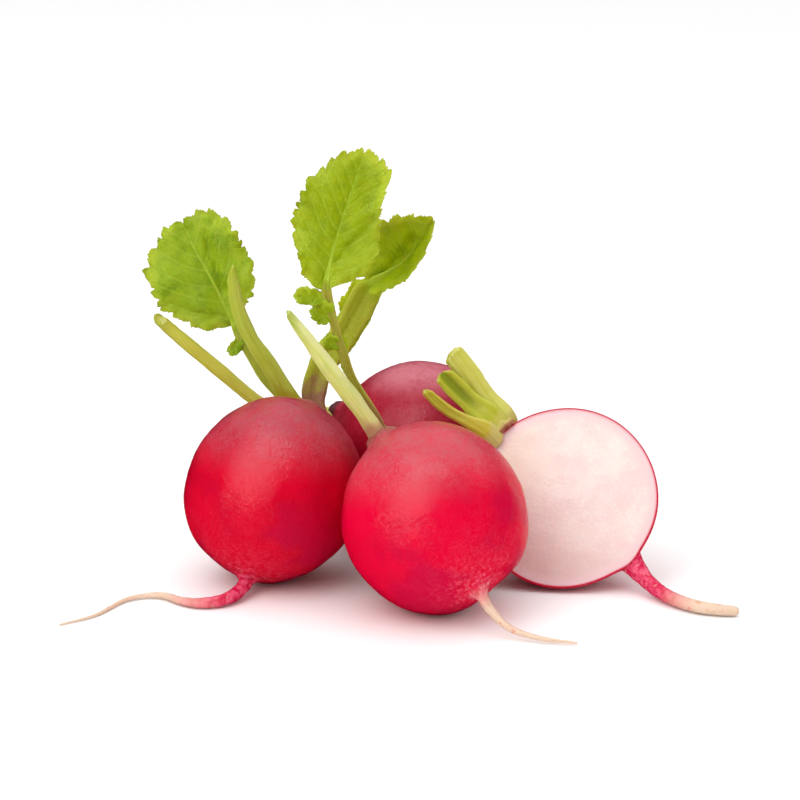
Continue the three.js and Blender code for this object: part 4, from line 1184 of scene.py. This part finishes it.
def stalk_skin(look, base, light, foot, tip, foot_end=0.33, channel_shade=0.25):
    """The colour and the height of a stalk's skin: lines along it, another colour at its foot and its tip.

    A painted highlight lies along each edge, and painted shade in its channel.
    """
    times, span = look.times, look.span
    run, path = look.mark("run"), look.mark("path", "Vector")
    lines = look.noise(look.scaled(path, 2.6, 2.6, 0.1), 1.0, 2.0, 0.5)
    patches = look.noise(look.scaled(path, 0.4, 0.4, 0.2), 1.0, 3.0, 0.5)
    off_middle = look.math("ABSOLUTE", look.parts(path)["X"])
    # Where painted shade goes in the channel.
    channel = times(span(off_middle, 1.1, 0.3), span(look.parts(path)["Y"], 0.3, 1.0), span(run, 0.3, 0.6))
    ragged = look.plus(run, times(patches, 0.25))
    skin = look.layers(
        base,
        (times(span(lines, 0.4, 0.62), 0.5), light),
        # painted highlight: lighter along both edges
        (times(span(off_middle, 0.9, 1.5), 0.6), light),
        (times(span(patches, 0.5, 0.7), 0.3), tip),
        (times(span(ragged, foot_end, foot_end - 0.1), 0.9), foot),
        (times(span(ragged, 0.98, 1.12), 0.8), tip),
        # painted shade in the channel
        (times(channel, channel_shade), CHANNEL_SHADE_GREEN))
    return skin, look.plus(lines, times(patches, 0.3))


def stalk_look(name, tones, channel_shade):
    look = Look(name)
    skin, height = stalk_skin(look, *colours(tones), channel_shade=channel_shade)
    return look.finish(
        skin, Normal=look.bump(height, 0.00014), Roughness=0.4, Specular_IOR_Level=0.16,
        Subsurface_Weight=0.15, Subsurface_Scale=0.0008, Coat_Weight=0.1, Coat_Roughness=0.3)


def leaf_look(name, tones, foot_end=0.29):
    """A leaf: blade colours parted by a pale net of veins, painted shade in its valleys, and its stalk."""
    look = Look(name)
    times, span = look.times, look.span
    dark, light, stalk, stalk_light, foot = colours(tones)
    path, kind, vein, margin = (
        look.mark("path", "Vector"), look.mark("kind"), look.mark("vein"), look.mark("margin"))
    cloud = look.noise(path, 0.22, 3.0, 0.55)
    fine = look.noise(path, 2.2, 4.0, 0.6)
    net = look.node("TexVoronoi", dict(Vector=path, Scale=1.3), feature="DISTANCE_TO_EDGE")
    cells = span(net.outputs["Distance"], 0.1, 0.0)
    strong = span(vein, 0.75, 1.0, 0.0, 0.4)
    outer = times(span(margin, 0.5, 0.9), span(look.noise(path, 0.3, 2.0, 0.5), 0.38, 0.6))
    blade = look.layers(
        dark,
        (span(cloud, 0.3, 0.62, 0.3, 1.0), light),
        (times(span(fine, 0.5, 0.75), 0.3), light),
        # painted shade: darker in the valleys along the veins
        (times(look.mark("valley"), 0.2), dark),
        (times(cells, 0.14), VEIN),
        (look.plus(times(vein, 0.34), strong), VEIN),
        (times(span(margin, 0.95, 1.0), 0.3), dark),
        (times(outer, 0.35), VEIN),
        (times(look.mark("under"), 0.45), VEIN))
    stem, ribs = stalk_skin(look, stalk, stalk_light, foot, stalk, foot_end)
    height = look.math("SUBTRACT", times(fine, 0.35), times(cells, 0.35))
    height = look.plus(height, times(kind, ribs))
    return look.finish(
        look.mix(kind, blade, stem), Normal=look.bump(height, 0.00016), Roughness=0.5,
        Specular_IOR_Level=0.05, Subsurface_Weight=0.2, Subsurface_Scale=0.001)


# ---- The bunch ----
# Skins: base, deep, shoulder (a dull top with a painted sheen), pale (a mottle painted as sheen and bounce
# light, and pale streaks), neck and top.
# The left root's skin is a darker copy of the red: painted shade for the shade on its right side.
SHADED_RED = skin_look("radish_shaded_red", (
    (200, 0, 38), (180, 0, 32), (164, 72, 84), (232, 80, 106), (156, 76, 74), (156, 108, 80)))
BRIGHT_RED = skin_look("radish_red", (
    (216, 0, 50), (204, 0, 44), (182, 80, 90), (240, 90, 112), (156, 78, 74), (156, 108, 80)))
CUT_RED = skin_look("radish_cut_red", (
    (200, 0, 44), (178, 0, 36), (176, 60, 74), (232, 100, 120), (160, 96, 72), (190, 182, 96)))
DULL_RED = skin_look("radish_dull", (
    (166, 4, 38), (150, 0, 30), (172, 34, 56), (198, 64, 88), (84, 30, 38), (88, 50, 44)),
    ring_axis=(0.05, -0.96, 0.28))

make_piece("left_root", whole_root(LEFT, 11), SHADED_RED)
make_piece("front_root", whole_root(FRONT, 12), BRIGHT_RED)
make_piece("back_root", whole_root(BACK, 13), DULL_RED)
make_piece("half_skin", [bowl_shell(), half_collar_shell(), half_tail_shell()], CUT_RED)
make_piece("half_flesh", half_flesh(), flesh_look())

# Stalks: base, light, foot and tip.
STALK_COLOURS = dict(
    yellow=((176, 170, 38), (190, 188, 74), (166, 126, 36), (158, 158, 52)),
    green=((162, 172, 42), (184, 190, 84), (150, 142, 8), (162, 176, 38)),
    pale=((196, 200, 100), (216, 216, 156), (172, 126, 96), (150, 166, 44)),
    wide=((196, 194, 76), (206, 204, 110), (196, 184, 104), (186, 188, 60)),
    olive=((168, 170, 34), (186, 188, 60), (190, 184, 84), (176, 178, 34)),
    brown=((182, 168, 38), (198, 186, 80), (194, 180, 108), (190, 178, 50)),
)
# Painted shade in the channel: how much of it shows, if not the usual 0.25.
CHANNEL_SHADES = dict(olive=0.8)      # how much of the channel's green shows, if not the usual 0.25
STALK_LOOKS = {
    tone: stalk_look("stalk_" + tone, tones, CHANNEL_SHADES.get(tone, 0.25))
    for tone, tones in STALK_COLOURS.items()
}
for seed, (name, stalk) in enumerate(STALKS.items(), 60):
    flare, web = HALF_FOOT if stalk["on"] is HALF else FOOT
    body = stalk_shell(stalk, seed, stalk.get("flare", flare), web)
    make_piece(name, [body], STALK_LOOKS[stalk["tone"]])

# Leaves: dark and light of the blade, then base, light and foot of the stalk.
LEAF_LOOKS = dict(
    left_leaf_round=leaf_look("leaf_fresh", (
        (88, 124, 0), (136, 164, 14), (164, 172, 50), (186, 194, 92), (150, 120, 60))),
    left_leaf_folded=leaf_look("leaf_deep", (
        (118, 146, 0), (160, 180, 0), (156, 162, 34), (180, 186, 62), (146, 92, 80)), foot_end=0.31),
    front_leaf_tall=leaf_look("leaf_yellow", (
        (110, 136, 0), (142, 162, 0), (156, 148, 46), (180, 176, 80), (164, 120, 84))),
)
for seed, (name, leaf) in enumerate(LEAVES.items()):
    make_piece(name, leaf_shells(leaf, 80 + 10 * seed), LEAF_LOOKS[name])


# ---- Stage, light and camera ----
FLOOR_HALF = 12.0
AIM_HEIGHT = 0.03             # above the floor, where the lights look
CAMERA_AT = (0, -0.55464, 0.19621)
CAMERA_TILT = 73.5            # degrees up from looking straight down
CAMERA_LENS = 150.0
SKY_RISE = (0.15, 0.95)       # heights between which the sky brightens, as shares of the way up


def make_floor():
    """A plain white floor, which isn't mirrored in the skins."""
    mesh = bpy.data.meshes.new("floor")
    corners = [(FLOOR_HALF * x, FLOOR_HALF * y, 0) for x, y in ((-1, -1), (1, -1), (1, 1), (-1, 1))]
    mesh.from_pydata(corners, [], [(0, 1, 2, 3)])
    white = Look("floor_white").finish((0.95, 0.95, 0.95, 1), Roughness=0.6, Specular_IOR_Level=0.3)
    mesh.materials.append(white)
    floor = add_object("floor", mesh)
    floor.visible_glossy = False


def make_light(name, seen_in, way, distance, width, height, watts):
    """A soft box that looks at the bunch from the way given. It is seen in gloss alone, or not in gloss."""
    data = bpy.data.lights.new(name, "AREA")
    data.shape, data.size, data.size_y, data.energy = "RECTANGLE", width, height, watts
    light = add_object(name, data)
    way = Vector(way).normalized()
    light.location = way * distance + Vector((0, 0, AIM_HEIGHT))
    light.rotation_euler = way.to_track_quat("Z", "Y").to_euler()
    light.visible_diffuse = seen_in == "diffuse"
    light.visible_glossy = seen_in == "gloss"


def make_camera():
    data = bpy.data.cameras.new("camera")
    data.lens, data.sensor_width = CAMERA_LENS, 36.0
    camera = add_object("camera", data)
    camera.location = CAMERA_AT
    camera.rotation_euler = (math.radians(CAMERA_TILT), 0, 0)
    bpy.context.scene.camera = camera


def make_world(horizon, zenith):
    """A sky that is dim at the horizon and bright overhead, like a studio with an overhead diffuser."""
    world = bpy.data.worlds.new("studio")
    world.use_nodes = True
    nodes, links = world.node_tree.nodes, world.node_tree.links
    place = nodes.new("ShaderNodeTexCoord")
    parts = nodes.new("ShaderNodeSeparateXYZ")
    rise = nodes.new("ShaderNodeMapRange")
    for socket, value in zip(("From Min", "From Max", "To Min", "To Max"), (*SKY_RISE, horizon, zenith)):
        rise.inputs[socket].default_value = value
    links.new(place.outputs["Generated"], parts.inputs["Vector"])
    links.new(parts.outputs["Z"], rise.inputs["Value"])
    background = nodes["Background"]
    background.inputs["Color"].default_value = (1, 1, 1, 1)
    links.new(rise.outputs["Result"], background.inputs["Strength"])
    world.cycles_visibility.glossy = False
    bpy.context.scene.world = world


make_floor()
# Lights: the way to each, its distance, width and height in metres, and its watts.
make_light("key_box", "diffuse", (-0.59, -0.53, 0.62), 0.6, 0.4, 0.6, 1.42)
make_light("gloss_box", "gloss", (-0.43, -0.55, 0.69), 0.5, 0.34, 1.1, 14.0)
make_light("top_gloss", "gloss", (0.1, 0.6, 0.8), 0.6, 1.0, 0.5, 3.5)
make_light("right_fill", "diffuse", (0.8, -0.4, 0.4), 0.7, 0.5, 0.5, 0.55)
make_light("front_fill", "diffuse", (0.15, -0.97, 0.18), 0.7, 0.6, 0.3, 0.2)
make_world(0.18, 1.6)
make_camera()
bpy.context.scene.view_settings.view_transform = "Standard"
